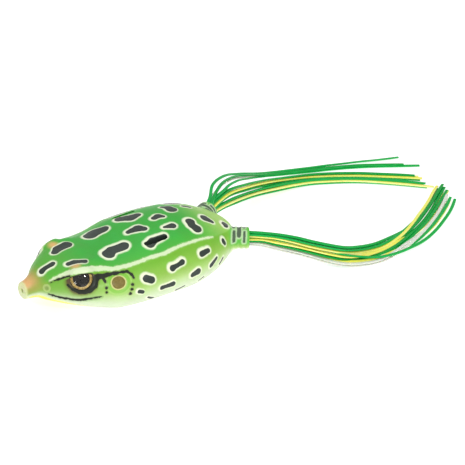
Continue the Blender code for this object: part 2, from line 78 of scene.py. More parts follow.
# ---- markings: a spot is its cream edge's width, then the balls (station, angle, radius) it joins ----
SPOTS = [
    (0.55, [(4.7, 17.5, 0.8), (5.5, 15.5, 0.65), (7.3, 17, 0.75)]),
    (0.35, [(10.2, 36, 0.75), (11.5, 36.5, 0.95), (13.6, 43, 0.8)]),
    (0.30, [(10.1, -16.5, 1.0), (11.5, -23.5, 1.3), (14.0, -24.5, 1.4)]),
    (0.50, [(21.1, -28.5, 1.8), (22.6, -32, 2.0), (24.6, -27, 1.5)]),
    (0.50, [(30.0, -31, 1.5), (32.0, -23.5, 1.7), (33.8, -24, 1.2)]),
    (0.75, [(20.5, 34, 1.6), (21.8, 29.5, 1.3), (24.7, 31.5, 1.35)]),
    (0.50, [(28.1, 10.5, 0.75), (30.7, 10.5, 1.3), (31.8, 16, 0.9)]),
    (0.45, [(36.2, 0.5, 0.8), (37.6, -2, 1.0), (38.5, 2.5, 0.6)]),
    (0.55, [(36.3, 26.5, 0.4), (38.4, 28, 1.0)]),
    (0.70, [(30.3, 44.5, 1.15), (31.4, 41.5, 1.05), (34.7, 40, 0.75)]),
    (0.25, [(41.2, -26, 0.6), (42.2, -20.5, 1.1), (42.3, -10.5, 1.4)]),
    (0.25, [(46.3, -18, 0.6), (47.4, -13.5, 0.65)]),
    (0.65, [(43.4, 29, 1.2), (43.1, 36.5, 1.0), (43.7, 43.5, 1.25)]),
    (0.50, [(48.3, 27.5, 1.35), (49.5, 36, 0.75)]),
    (0.55, [(52.9, 50.5, 0.6), (53.2, 46, 0.8), (53.8, 42.5, 0.75)]),
    (0.50, [(50.0, 70.5, 0.8), (50.3, 73.5, 0.6)]),
    (0.55, [(41.8, 72, 0.75), (44.0, 71.5, 0.6)]),
    (0.60, [(33.0, 75.5, 0.8), (34.2, 74.5, 0.5), (36.0, 73, 0.7)]),
    (0.50, [(25.8, 76.5, 0.9), (27.0, 79.5, 0.9)]),
    (0.35, [(38.2, 88.5, 0.6), (39.9, 87, 0.85)]),
    (0.30, [(44.1, 88, 0.6), (46.3, 83.5, 0.4)]),
    (0.25, [(47.4, 94, 0.35), (48.8, 89.5, 0.3)]),
    (0.25, [(29.5, 90.5, 0.6), (31.0, 90.5, 0.5), (32.6, 90.5, 0.7)]),
    (0.20, [(23.6, 86.5, 0.5), (24.4, 88, 0.5)]),
    (0.20, [(34.2, 101.5, 0.5), (36.2, 99, 0.3)]),
    (0.20, [(40.5, 99.5, 0.25), (41.8, 97, 0.3)]),
    (0.20, [(26.0, 96.5, 0.3), (27.5, 101, 0.5)]),
    # the frog's right flank, and the back above its hook slit
    (0.60, [(30.4, -58, 1.1), (32.3, -56, 1.0), (35.0, -58, 0.8)]),
    (0.60, [(37.9, -52, 1.0), (40.4, -54, 1.2)]),
    (0.50, [(44.4, -42, 1.3), (46.8, -37, 0.9)]),
    (0.45, [(49.3, -50, 0.9), (50.2, -43, 0.6)]),
    (0.55, [(26.3, -77, 0.9), (27.6, -74.5, 0.8)]),
    (0.55, [(33.4, -77, 0.7), (35.2, -73, 0.7), (36.5, -75, 0.6)]),
    (0.55, [(41.6, -74, 0.8), (43.6, -70.5, 0.6)]),
    (0.50, [(49.3, -72, 0.75), (50.4, -69, 0.5)]),
    (0.30, [(23.4, -88, 0.5), (24.6, -86, 0.5)]),
    (0.30, [(29.3, -91.5, 0.6), (32.2, -90, 0.7)]),
    (0.35, [(38.3, -87, 0.65), (40.2, -89.5, 0.8)]),
    (0.30, [(44.6, -87, 0.5), (46.4, -84, 0.5)]),
    (0.20, [(26.4, -99, 0.45), (28.0, -101, 0.4)]),
    (0.20, [(35.0, -101, 0.5), (36.9, -99, 0.35)]),
]
# the pale fold from the snout over the eye and along the flank, mirrored on the right
FOLD = [(5.1, 56, 0.08), (6.1, 54.1, 0.24), (7, 54, 0.35), (8.6, 54.7, 0.55), (10.3, 56.6, 0.64),
        (12.1, 57, 0.66), (14.1, 56, 0.64), (16.6, 55.1, 0.56), (18.8, 57.3, 0.5), (20.4, 57.7, 0.48),
        (22, 58.3, 0.45), (24.4, 59, 0.39), (26.9, 59.2, 0.39), (29.4, 59.4, 0.39), (32.1, 59.8, 0.4),
        (35, 58.1, 0.36), (37.9, 57.1, 0.33), (40.8, 57, 0.29), (43.7, 57.8, 0.24), (46.8, 60, 0.14)]
# black ink on the face: the streak before the eye, the mask behind it, and dots, all mirrored
MASK = [
    [(4.9, 61, 0.08), (6.5, 58.8, 0.2), (7.7, 59.2, 0.26), (8.8, 60.2, 0.26)],
    [(8.0, 73, 0.28), (8.8, 79.5, 0.4), (10, 82.3, 0.5), (11.2, 81.8, 0.6), (12.2, 79, 0.8),
     (13.2, 74, 0.95), (13.9, 68, 0.9), (14.9, 64.8, 0.68), (17.4, 63.4, 0.46), (19.4, 62.9, 0.4),
     (21.4, 63.6, 0.32), (22, 64, 0.3), (22.8, 68.2, 0.28), (23, 72.6, 0.22)],
    [(15.8, 66, 0.36), (16.1, 71.3, 0.3)],
    [(15.9, 77.1, 0.34), (15.9, 77.3, 0.34)], [(15.8, 82.5, 0.32), (15.8, 82.7, 0.32)],
    [(22.2, 77.6, 0.38), (22.3, 77.8, 0.38)], [(21.7, 81.9, 0.36), (21.9, 82.5, 0.34)],
    [(21.3, 85.6, 0.34), (21.4, 86, 0.34)],
]
MOUTH = [(4.5, 94, 0.18), (5.3, 95.2, 0.26), (6.3, 97, 0.3), (7.6, 96.6, 0.32), (8.9, 96.7, 0.32),
         (10, 95.2, 0.34), (11.1, 92.6, 0.28), (12.3, 90.5, 0.24), (13.5, 88.5, 0.18), (14.6, 87.5, 0.12)]
EAR, NOSTRIL = (19.1, 73.0), (4.3, 74.0)
# dark bars round the sockets: distance along the socket, half-width, and first and last angle in radians
SOCKET_BARS = [(-3.95, 0.42, 0.15, 1.5), (-2.6, 0.5, -0.9, 0.75), (-1.45, 0.32, 0.1, 1.2),
               (-1.3, 0.3, -1.5, -0.5), (-3.8, 0.36, -1.4, -0.4)]

# ---- the skirts: routes as in the CAD, in millimetres behind the mouth, outward from it and up ----
# trim is how much shorter each strand is than its route, roll is where the lock starts and ends to turn
# over and by how many half turns, and loose is how far outward each strand strays in the air
LANE, LAYER = 0.88, 0.45
STRAND_WIDTH, STRAND_THICKNESS = 0.82, 0.36
PLACES = {1: [(0, 0)],
          3: [(-0.5, -0.5), (0.5, -0.5), (-0.5, 0.5)],
          4: [(-0.5, -0.5), (0.5, -0.5), (-0.5, 0.5), (0.5, 0.5)],
          5: [(-0.5, -1), (0.5, -1), (-0.5, 0), (0.5, 0), (0, 1)]}
LOCKS = [
    {"name": "left_inner", "side": -1, "trim": (0, 1.4, 0.4, 1.8, 0.9), "roll": (30, 58, 1),
     "strands": ["green", "yellow", "green", "green", "green"],
     "route": [(0, 0, 10.18), (2.3, 1.8, 10.17), (5.9, 3.7, 9.56), (9.6, 5.5, 8.47), (13.4, 7.2, 7.03),
               (17.6, 8.3, 5.37), (22.3, 8.8, 3.56), (27.8, 8.2, 1.99), (33.4, 7.6, 1.08),
               (39.4, 6.3, 0.77), (48.5, 2.5, 0.72), (53.3, -0.6, 0.72), (58.7, -4.5, 0.71),
               (63.1, -8, 0.71), (66.9, -10.8, 0.71)]},
    {"name": "left_stray", "side": -1, "trim": (0,),
     "strands": ["green"],
     "route": [(0, 0, 9.28), (2.7, 1.2, 9.15), (5.9, 3.7, 8.55), (9.6, 5.5, 7.41), (13.6, 7, 5.93),
               (17.6, 8.4, 4.31), (21.5, 9.9, 2.86), (25.5, 11.4, 1.83), (29.5, 13, 1.34),
               (34.2, 13.5, 1.17), (40.1, 12.4, 0.81), (46.8, 9.9, 0.3), (52, 7.2, 0.29),
               (56.2, 4.5, 0.29), (61.1, 1, 0.29), (65.9, -3.3, 0.28)]},
    {"name": "left_middle", "side": -1, "trim": (1.2, 0, 0.4, 1.9), "roll": (26, 56, 1),
     "strands": ["green", "green", "yellow", "yellow"],
     "route": [(0, 0, 8.6), (2.6, 1.4, 8.48), (5.7, 4, 7.88), (9.4, 5.8, 6.73), (13.3, 7.3, 5.23),
               (17.4, 8.7, 3.57), (21.7, 9.8, 2.04), (26.4, 10.2, 1.06), (31.5, 10.2, 0.63),
               (37.3, 9.2, 0.5), (44.2, 6.7, 0.48), (50.5, 3.6, 0.48), (57, -0.8, 0.48),
               (62.7, -5.3, 0.48), (67.4, -9, 0.48)]},
    {"name": "left_outer", "side": -1, "trim": (1.0, 0, 2.2, 0.6), "roll": (30, 60, 1),
     "strands": ["green", "clear", "yellow", "clear"],
     "route": [(0, 0, 7.7), (2.3, 1.8, 7.51), (5.6, 4.3, 6.66), (9.4, 5.9, 5.32), (13.3, 7.4, 3.74),
               (17.1, 9.2, 2.22), (20.8, 11.1, 1.13), (24.9, 12.4, 0.62), (29.4, 13.1, 0.49),
               (35.1, 12.2, 0.48), (40.7, 10.4, 0.48), (46.6, 8, 0.48), (51.8, 5.2, 0.48),
               (56.7, 1.9, 0.48), (62.2, -2.4, 0.48), (65.6, -5.4, 0.48)]},
    {"name": "right_stray", "side": 1, "trim": (0,), "loose": (0.9,),
     "strands": ["green"],
     "route": [(-1.3, -0.3, 10.62), (2.4, 3.6, 10.62), (7.7, 8.55, 10.5), (12.1, 11.6, 9.5),
               (20.3, 16.3, 6.1), (27.2, 18.75, 3.45), (33.1, 19.55, 2), (38.4, 19.4, 1.25),
               (43.1, 18.5, 1), (47.8, 17.5, 0.88), (52.3, 16.3, 0.8), (57.2, 15.6, 0.45),
               (61.1, 14.6, 0.3), (64.2, 13.7, 0.29), (67.6, 12.8, 0.29)]},
    {"name": "right_outer", "side": 1, "trim": (-2.8, 1.6, 1.5), "loose": (-1.5, -0.9, 0),
     "strands": ["green", "clear", "green"],
     "route": [(-1, -0.6, 10.4), (2.7, 3.3, 10.4), (8, 8.2, 10.22), (12.4, 11.2, 9.17),
               (20.6, 15.9, 5.77), (27.4, 18.3, 3.13), (33.2, 19.1, 1.66), (38.4, 19, 0.88),
               (43, 18, 0.66), (47.6, 16.9, 0.51), (51.8, 15.4, 0.5), (56, 13.6, 0.5), (60, 11.6, 0.49),
               (63.8, 9.5, 0.49), (67.3, 7.6, 0.49)]},
    {"name": "right_middle", "side": 1, "trim": (0.4, 1.5, 0, 1.0, 1.8), "loose": (0, 0, 0, 0.4, 0),
     "strands": ["green", "green", "yellow", "yellow", "green"],
     "route": [(-1, -0.6, 9.28), (3.8, 2.5, 9.21), (8.7, 5.5, 8.71), (15.8, 8.6, 7.05),
               (23.4, 12.3, 4.52), (30.2, 14.6, 2.52), (35.6, 15, 1.56), (40.6, 14.5, 1),
               (44.9, 13, 0.81), (48.8, 11.1, 0.72), (52.6, 8.8, 0.72), (56.1, 6.3, 0.71),
               (61.4, 2.4, 0.71), (65.4, -0.8, 0.71)]},
    {"name": "right_inner", "side": 1, "trim": (0, 1.5, -1.9, 0.9, 0.4),
     "strands": ["green", "yellow", "yellow", "green", "green"],
     "route": [(-1, -0.6, 7.92), (3.1, 1.4, 7.75), (7.5, 3.6, 7.04), (15.1, 7.4, 5.23),
               (22.3, 10.6, 3.27), (28.7, 12.4, 1.83), (34.2, 12.8, 1.12), (39, 12.2, 0.79),
               (43.2, 10.5, 0.74), (47.1, 8.6, 0.7), (50.8, 6.3, 0.7), (54.2, 3.7, 0.7),
               (59.2, -0.5, 0.7), (64, -4.9, 0.7)]},
]


# ---- small helpers ----
def metres(points):
    """Millimetres in the script's own axes as metres in the frame's."""
    return (np.asarray(points, float) - (OVERALL / 2, 0.0, 0.0)) * 0.001


def unit(rows):
    return rows / np.linalg.norm(rows, axis=-1, keepdims=True)


def ease(value, low, high):
    """0 to 1, with soft ends, as the value goes from low to high."""
    t = np.clip((np.asarray(value, float) - low) / (high - low), 0, 1)
    return t * t * (3 - 2 * t)


def colour(red, green, blue):
    """A colour given as screen values from 0 to 255, as the linear values that shaders take."""
    c = np.array([red, green, blue], float) / 255
    return np.where(c <= 0.04045, c / 12.92, ((c + 0.055) / 1.055) ** 2.4)


def hermite(t, h, first, last, first_slope, last_slope):
    """A cubic from first to last with those slopes, at the share t of a stretch of length h."""
    return (first * (1 + 2 * t) * (1 - t) ** 2 + first_slope * h * t * (1 - t) ** 2
            + last * t * t * (3 - 2 * t) - last_slope * h * t * t * (1 - t))


def smooth(points, stations):
    """A curve through (station, value) points that never overshoots them."""
    x, v = np.array(points, float).T
    slope = np.diff(v) / np.diff(x)
    tangent = np.empty_like(v)
    tangent[1:-1] = np.where(slope[1:] * slope[:-1] > 0,
                             2 * slope[1:] * slope[:-1] / (slope[1:] + slope[:-1] + 1e-30), 0.0)
    tangent[0], tangent[-1] = slope[0], slope[-1]
    s = np.clip(stations, x[0], x[-1])
    i = np.clip(np.searchsorted(x, s, side="right") - 1, 0, len(x) - 2)
    h = x[i + 1] - x[i]
    return hermite((s - x[i]) / h, h, v[i], v[i + 1], tangent[i], tangent[i + 1])


def spline(points, step):
    """Points about one step apart on a smooth curve through the given points, with their distances."""
    p = np.array(points, float)
    t = np.concatenate([[0], np.cumsum(np.linalg.norm(np.diff(p, axis=0), axis=1))])
    h = np.diff(t)[:, None]
    slope = np.diff(p, axis=0) / h
    tangent = np.empty_like(p)
    tangent[1:-1] = (slope[:-1] * h[1:] + slope[1:] * h[:-1]) / (h[:-1] + h[1:])
    tangent[0] = 1.5 * slope[0] - 0.5 * tangent[1]
    tangent[-1] = 1.5 * slope[-1] - 0.5 * tangent[-2]
    u = np.linspace(0, t[-1], int(round(t[-1] / step)) + 1)
    i = np.clip(np.searchsorted(t, u, side="right") - 1, 0, len(t) - 2)
    share = ((u - t[i])[:, None]) / h[i]
    return hermite(share, h[i], p[i], p[i + 1], tangent[i], tangent[i + 1]), u


def loft(rings, closed=False):
    """Vertices and faces through rings of equal count, with fans on the ends unless it closes on itself."""
    n, m = len(rings), len(rings[0])
    vertices = np.concatenate(rings)
    faces = []
    for row in range(n if closed else n - 1):
        a, b = row * m, (row + 1) % n * m
        faces += [(a + i, a + (i + 1) % m, b + (i + 1) % m, b + i) for i in range(m)]
    if not closed:
        vertices = np.concatenate([vertices, [rings[0].mean(0), rings[-1].mean(0)]])
        end = (n - 1) * m
        faces += [((i + 1) % m, i, n * m) for i in range(m)]
        faces += [(end + i, end + (i + 1) % m, n * m + 1) for i in range(m)]
    return vertices, faces


def turned(profile, segments, base, axis):
    """Rings of a solid of revolution from (distance along the axis, radius) points."""
    along = unit(np.array(axis, float))
    side = unit(np.cross(along, (0.0, 0.0, 1.0)))
    other = np.cross(along, side)
    turns = np.linspace(0, 2 * np.pi, segments, endpoint=False)[:, None]
    return [np.array(base) + along * reach + radius * (side * np.cos(turns) + other * np.sin(turns))
            for reach, radius in profile]


def make(name, vertices, faces, scale=True, look=None, sharp=40.0):
    """A mesh object; scale=False keeps millimetres, for a shape that is only worked on."""
    mesh = bpy.data.meshes.new(name)
    points = metres(vertices) if scale else np.asarray(vertices, float)
    mesh.from_pydata([tuple(p) for p in points], [], faces)
    mesh.validate()
    mesh.shade_smooth()
    if sharp:
        mesh.set_sharp_from_angle(angle=np.radians(sharp))
    made = bpy.data.objects.new(name, mesh)
    SCENE.collection.objects.link(made)
    if look:
        mesh.materials.append(look)
    return made


def coordinates(mesh):
    out = np.empty(len(mesh.vertices) * 3)
    mesh.vertices.foreach_get("co", out)
    return out.reshape(-1, 3)


def write_attribute(mesh, name, values):
    """Gives each vertex a number or a colour, which a shader reads by its name."""
    if np.ndim(values) == 2:
        layer = mesh.attributes.new(name, "FLOAT_COLOR", "POINT")
        layer.data.foreach_set("color", np.c_[values, np.ones(len(values))].astype(np.float32).ravel())
    else:
        layer = mesh.attributes.new(name, "FLOAT", "POINT")
        layer.data.foreach_set("value", np.asarray(values, np.float32))


def applied(thing):
    """The object's mesh with its modifiers applied; the object itself is removed."""
    graph = bpy.context.evaluated_depsgraph_get()
    mesh = bpy.data.meshes.new_from_object(thing.evaluated_get(graph), depsgraph=graph)
    bpy.data.objects.remove(thing, do_unlink=True)
    return mesh


# ---- shader graphs ----
class Graph:
    """A material's node tree, with a few short ways to add to it."""

    def __init__(self, name):
        self.material = bpy.data.materials.new(name)
        self.material.use_nodes = True
        self.tree = self.material.node_tree
        self.shader = self.tree.nodes["Principled BSDF"]
        self.place = self.add("ShaderNodeTexCoord").outputs["Object"]

    def add(self, kind, **settings):
        node = self.tree.nodes.new(kind)
        for key, value in settings.items():
            setattr(node, key, value)
        return node

    def put(self, socket, value):
        if isinstance(value, bpy.types.NodeSocket):
            self.tree.links.new(value, socket)
        elif np.ndim(value) == 1 and len(socket.default_value) == 4:
            socket.default_value = (*[float(v) for v in value], 1.0)
        else:
            socket.default_value = value if np.ndim(value) == 0 else [float(v) for v in value]

    def set(self, **inputs):
        for key, value in inputs.items():
            self.put(self.shader.inputs[key.replace("_", " ")], value)

    def math(self, operation, *values):
        node = self.add("ShaderNodeMath", operation=operation)
        for socket, value in zip(node.inputs, values):
            self.put(socket, value)
        return node.outputs[0]

    def plus(self, first, second):
        return self.math("ADD", first, second)

    def minus(self, first, second):
        return self.math("SUBTRACT", first, second)

    def times(self, first, second):
        return self.math("MULTIPLY", first, second)

    def xyz(self, x, y, z):
        node = self.add("ShaderNodeCombineXYZ")
        for socket, value in zip(node.inputs, (x, y, z)):
            self.put(socket, value)
        return node.outputs[0]

    def mix(self, factor, first, second):
        node = self.add("ShaderNodeMix", data_type="RGBA")
        self.put(node.inputs["Factor"], factor)
        self.put(node.inputs[6], first)
        self.put(node.inputs[7], second)
        return node.outputs[2]

    def step(self, value, low, high, start=0.0, end=1.0):
        """A smooth step from start to end as the value goes from low to high."""
        node = self.add("ShaderNodeMapRange", interpolation_type="SMOOTHSTEP")
        for key, item in (("Value", value), ("From Min", low), ("From Max", high),
                          ("To Min", start), ("To Max", end)):
            self.put(node.inputs[key], item)
        return node.outputs[0]

    def over(self, under, cover, shade, strength=1.0):
        """A shade laid over a colour where cover is 1, as thickly as strength says."""
        return self.mix(self.times(cover, strength), under, shade)

    def attribute(self, name, output="Fac"):
        return self.add("ShaderNodeAttribute", attribute_name=name).outputs[output]

    def noise(self, size, detail=2.0, place=None):
        """Noise from 0 to 1 with features of about that size in millimetres."""
        node = self.add("ShaderNodeTexNoise")
        self.put(node.inputs["Vector"], place or self.place)
        node.inputs["Scale"].default_value = 1000.0 / size
        node.inputs["Detail"].default_value = detail
        return node.outputs["Fac"]

    def vector(self, operation, first, second=None):
        node = self.add("ShaderNodeVectorMath", operation=operation)
        self.put(node.inputs[0], first)
        if second is not None:
            self.put(node.inputs[1], second)
        return node.outputs["Value" if operation in ("DOT_PRODUCT", "LENGTH", "DISTANCE") else "Vector"]

    def left_place(self):
        """The place in millimetres from the body's middle, with the right side mirrored onto the left."""
        parts = self.add("ShaderNodeSeparateXYZ")
        self.put(parts.inputs[0], self.vector("MULTIPLY", self.place, (1000.0, 1000.0, 1000.0)))
        x, y, z = parts.outputs
        return self.xyz(x, self.times(self.math("ABSOLUTE", y), -1.0), z)

    def wobble(self, distance, *waves):
        """A distance in millimetres made uneven by noise waves of (size, amount)."""
        for size, amount in waves:
            distance = self.plus(distance, self.times(self.minus(self.noise(size), 0.5), amount))
        return distance

    def bump(self, height, depth):
        """Bump from a height of 0 to 1, which stands for that depth in millimetres."""
        node = self.add("ShaderNodeBump")
        self.put(node.inputs["Height"], height)
        node.inputs["Distance"].default_value = depth * 0.001
        self.put(self.shader.inputs["Normal"], node.outputs[0])


# ---- the body's form ----
def half_sizes(s):
    """Half-width, height above and below the widest line, and that line's height."""
    share = np.clip((s - (BODY_LENGTH - TAIL_ROUND)) / TAIL_ROUND, 0, 1)
    shrink = (1 - share ** TAIL_POWER) ** (1 / TAIL_POWER)
    top, bottom = smooth(TOPS, s), smooth(BOTTOMS, s)
    middle = bottom + WIDEST * (top - bottom)
    return smooth(WIDTHS, s) * shrink, (top - middle) * shrink, (middle - bottom) * shrink, middle


def brow(s, y):
    """How far the brow ridges rise above the body's own form."""
    return 1.4 * np.exp(-((s - 12.4) / 4.2) ** 2 - ((np.abs(y) - 6.6) / 2.4) ** 2)


def on_skin(points):
    """The place on the skin at each (station, angle, ...)."""
    s, angle = np.array(points, float)[:, :2].T
    angle = np.radians(angle)
    width, up, down, middle = half_sizes(s)
    n = SECTION_POWER
    height = np.where(np.cos(angle) > 0, up, down)
    reach = ((np.abs(np.sin(angle)) / width) ** n + (np.abs(np.cos(angle)) / height) ** n) ** (-1 / n)
    y, z = -reach * np.sin(angle), middle + reach * np.cos(angle)
    rise = np.clip(np.cos(angle) * reach / height, 0, 1) ** (n / 4)
    return np.stack([s, y, z + brow(s, y) * rise], axis=1)


def body_rings(stations, count, inset=None):
    """Cross-sections of the body, or of its hollow when an inset is given for each station."""
    n = SECTION_POWER
    turn = np.linspace(0, 2 * np.pi, count, endpoint=False)
    c, d = np.cos(turn), np.sin(turn)
    rings = []
    for k, s in enumerate(stations):
        width, up, down, middle = (float(v) for v in half_sizes(np.array([s]))[:4])
        if inset is not None:
            width, up, down = width - inset[k], up - inset[k], down - inset[k]
        y = width * np.sign(c) * np.abs(c) ** (2 / n)
        z = middle + np.where(d > 0, up, down) * np.sign(d) * np.abs(d) ** (2 / n)
        if inset is None:
            z = np.maximum(z + brow(s, y) * np.sqrt(np.clip(d, 0, 1)), 0.0)
        rings.append(np.stack([np.full(count, s), y, z], axis=1))
    return rings


def along_body(straight, end, around):
    """Stations up to where the tail starts to round, and closer together from there to the end."""
    round_start = BODY_LENGTH - TAIL_ROUND
    return np.concatenate([straight, round_start
                           + (end - round_start) * np.sin(np.linspace(0, np.pi / 2, around))[1:]])


def socket_frame(side):
    """The middle of a leg socket's mouth, and the direction that the socket points in."""
    axis = np.array([np.cos(SPLAY), side * np.sin(SPLAY), 0.0])
    mouth = np.array([MOUTH_STATION, side * SOCKET_Y, SOCKET_Z])
    return mouth - axis * (RIGHT_DEEPER if side > 0 else 0), axis


def eye_frame(side):
    """The eye's centre, and the direction that it faces."""
    return np.array(EYE) * (1, side, 1), unit(np.array(EYE_FACING) * (1, side, 1))


def from_socket(points, side):
    """Distances past a socket's mouth and out from its axis, and the way out from the axis."""
    mouth, axis = socket_frame(side)
    along = (points - mouth) @ axis
    radial = points - mouth - along[:, None] * axis
    return along, np.linalg.norm(radial, axis=1), radial


def socket_distance(points, side):
    """Signed distance and outward direction from a leg socket: a rounded tube with shallow rings."""
    along, reach, radial = from_socket(points, side)
    ring_height, ring_pitch, round_over = 0.1, 1.27, 0.6
    rings = (ring_height * np.cos((along + 0.75) * 2 * np.pi / ring_pitch)
             * ease(-along, 0.5, 1.0) * ease(-along, 5.6, 4.6))
    x, t = reach - (SOCKET_RADIUS - 0.06 + rings - round_over), along + round_over
    outside = np.hypot(np.maximum(x, 0), np.maximum(t, 0))
    distance = np.minimum(np.maximum(x, t), 0) + outside - round_over
    # the tube ends inside the body, so that it doesn't reach the skin ahead of its root
    far = 9.0
    distance = np.where(along < -SOCKET_ROOT - 3, far, distance)
    weight = np.stack([np.maximum(x, 0), np.maximum(t, 0)], axis=1)
    inner = np.where((x > t)[:, None], (1.0, 0.0), (0.0, 1.0))
    weight = np.where(outside[:, None] > 1e-9, weight, inner)
    weight = unit(weight + 1e-12)
    return distance, weight[:, :1] * unit(radial + 1e-12) + weight[:, 1:] * socket_frame(side)[1]


def chain_distance(points, chain, blend=0.25):
    """Signed distance to a chain of balls (x, y, z, radius) that are joined smoothly."""
    total = None
    for first, second in zip(chain[:-1], chain[1:]):
        link = second[:3] - first[:3]
        t = np.clip((points - first[:3]) @ link / (link @ link + 1e-12), 0, 1)
        d = (np.linalg.norm(points - first[:3] - t[:, None] * link, axis=1)
             - first[3] - (second[3] - first[3]) * t)
        if total is None:
            total = d
        else:
            h = np.clip(blend - np.abs(total - d), 0, None) / blend
            total = np.minimum(total, d) - h * h * blend / 4
    return total


def chain_on_skin(chain):
    """A chain of (station, angle, radius) as balls on the skin."""
    return np.c_[on_skin(chain), np.array(chain, float)[:, 2]]


def nearest_of(points, chains, far=8.0):
    """Signed distance to the nearest of several chains, worked out only where it can matter."""
    best = np.full(len(points), far)
    for chain in chains:
        middle = chain[:, :3].mean(0)
        reach = np.linalg.norm(chain[:, :3] - middle, axis=1).max() + chain[:, 3].max() + 3.0
        near = np.linalg.norm(points - middle, axis=1) < reach
        if near.any():
            best[near] = np.minimum(best[near], chain_distance(points[near], chain))
    return best


def left_half(points):
    """The same points with the frog's right side folded onto its left."""
    return points * (1, -1, 1) * np.where(points[:, 1:2] > 0, 1, (1, -1, 1))


def eye_axes(side):
    """The eye's centre, its facing, the way up across it, and the way back across it."""
    centre, facing = eye_frame(side)
    up = unit(np.array([0, 0, 1.0]) - facing[2] * facing)
    return centre, facing, up, np.cross(up, facing) * -side


def lid_edge(rear):
    """How high above the eye's middle the upper lid's edge is."""
    return 0.92 + 0.12 * rear - 0.05 * rear ** 2


def bell(distance, middle, width):
    """1 at the middle distance, and falling away smoothly on both sides of it."""
    return np.exp(-((distance - middle) / width) ** 2)


def raised_details(points):
    """How far the skin stands out, and how far its eyelid does, at each point of its smooth form."""
    p = left_half(points)
    fold, mouth = (chain_distance(p, chain_on_skin([(s, a, 0) for s, a, _ in line]))
                   for line in (FOLD, MOUTH))
    out = 0.1 * bell(fold, 0, 0.75) * (0.35 + 0.65 * ease(p[:, 0], 44, 32))
    # the lips stand out below the groove between them
    out += 0.08 * bell(mouth, 0.75, 0.45) - 0.2 * bell(mouth, 0, 0.26)

    centre, facing, up, rear = eye_axes(-1)
    u, v, h = (p - centre) @ rear, (p - centre) @ up, (p - centre) @ facing
    around = np.hypot(u, v)
    near = bell(h, 0, 2.2)
    # a rim round the eye, and a shallow hollow round the rim
    out += near * (0.16 * bell(around, 3.3, 0.5) - 0.1 * bell(around, 4.4, 0.6))
    lid = (np.clip(0.6 - h, 0, 0.9) * ease(around, 4.1, 2.6) * ease(v - lid_edge(u), -0.5, 0.15)
           * (near > 0.05) * ease(np.abs(u), 3.6, 1.6) * np.where(points[:, 1] > 0, 0.5, 1.0))

    def away(place):
        return np.linalg.norm(p - on_skin([place]), axis=1)

    ear, hole = away(EAR), away(NOSTRIL)
    out += 0.12 * ease(ear, 1.75, 1.4) + 0.08 * bell(ear, 2.3, 0.35) - 0.08 * bell(ear, 1.8, 0.2)
    # soft hollows before the eye and between the brow and the back
    for place, depth, width in (((8.2, 63), 0.25, 2.0), ((12.6, 42), 0.3, 2.6)):
        out -= depth * bell(away(place), 0, width)
    out += 0.08 * bell(hole, 0.6, 0.3) - 0.25 * bell(hole, 0, 0.3)
    return out, lid


def body_form():
    """The smooth form of the body, without its sockets, as vertices and faces."""
    straight = np.linspace(0, BODY_LENGTH - TAIL_ROUND, 150)
    return loft(body_rings(along_body(straight, BODY_LENGTH - 0.01, 60), 160))


def nearest(tree, points):
    """The nearest places on a form, and its normals there."""
    found = [tree.find_nearest(p) for p in points.tolist()]
    return np.array([f[0] for f in found]), np.array([f[1] for f in found])


def skin_outside(form_points, form_faces, form):
    """The body and its sockets as one even mesh in millimetres, with soft hollows where they meet.

    Also its points, and where they were before the details were raised.
    """
    vertices, faces = [form_points], list(form_faces)
    for side in (-1, 1):
        mouth, axis = socket_frame(side)
        more, more_faces = loft(turned([(-SOCKET_ROOT, SOCKET_RADIUS), (0, SOCKET_RADIUS)], 48, mouth, axis))
        start = sum(len(v) for v in vertices)
        vertices.append(more)
        faces += [tuple(i + start for i in face) for face in more_faces]
    blank = make("skin_blank", np.concatenate(vertices), faces, scale=False, sharp=None)
    remesh = blank.modifiers.new("even", "REMESH")
    remesh.mode, remesh.voxel_size = "VOXEL", 0.28
    mesh = applied(blank)

    points = coordinates(mesh)
    soft = 1.7
    for _ in range(3):
        spot, normal = nearest(form, points)
        distance = np.sum((points - spot) * normal, axis=1)
        for side in (-1, 1):
            other, other_normal = socket_distance(points, side)
            h = np.clip(soft - np.abs(distance - other), 0, None) / soft
            share = np.where(distance < other, 1 - h * h / 2, h * h / 2)[:, None]
            distance = np.minimum(distance, other) - h * h * soft / 4
            normal = unit(normal * share + other_normal * (1 - share))
        points = points - normal * np.clip(distance, -0.5, 0.5)[:, None]
    detail, lid = raised_details(points)
    facing = eye_frame(-1)[1] * np.where(points[:, 1:2] > 0, (1, -1, 1), 1)
    raised = points + normal * (detail * (points[:, 0] > 0.15))[:, None] + facing * lid[:, None]
    raised[:, 2] = np.maximum(raised[:, 2], 0.0)
    mesh.vertices.foreach_set("co", raised.ravel())
    return mesh, raised, points


def cut(thing, vertices, faces):
    """Cuts a closed shape out of a millimetre mesh object."""
    cutter = make("cutter", vertices, faces, scale=False, sharp=None)
    change = thing.modifiers.new("cut", "BOOLEAN")
    change.operation, change.object, change.solver = "DIFFERENCE", cutter, "MANIFOLD"
    name = thing.name
    mesh = applied(thing)
    bpy.data.objects.remove(cutter, do_unlink=True)
    return make_from(name, mesh)


def make_from(name, mesh):
    made = bpy.data.objects.new(name, mesh)
    SCENE.collection.objects.link(made)
    return made


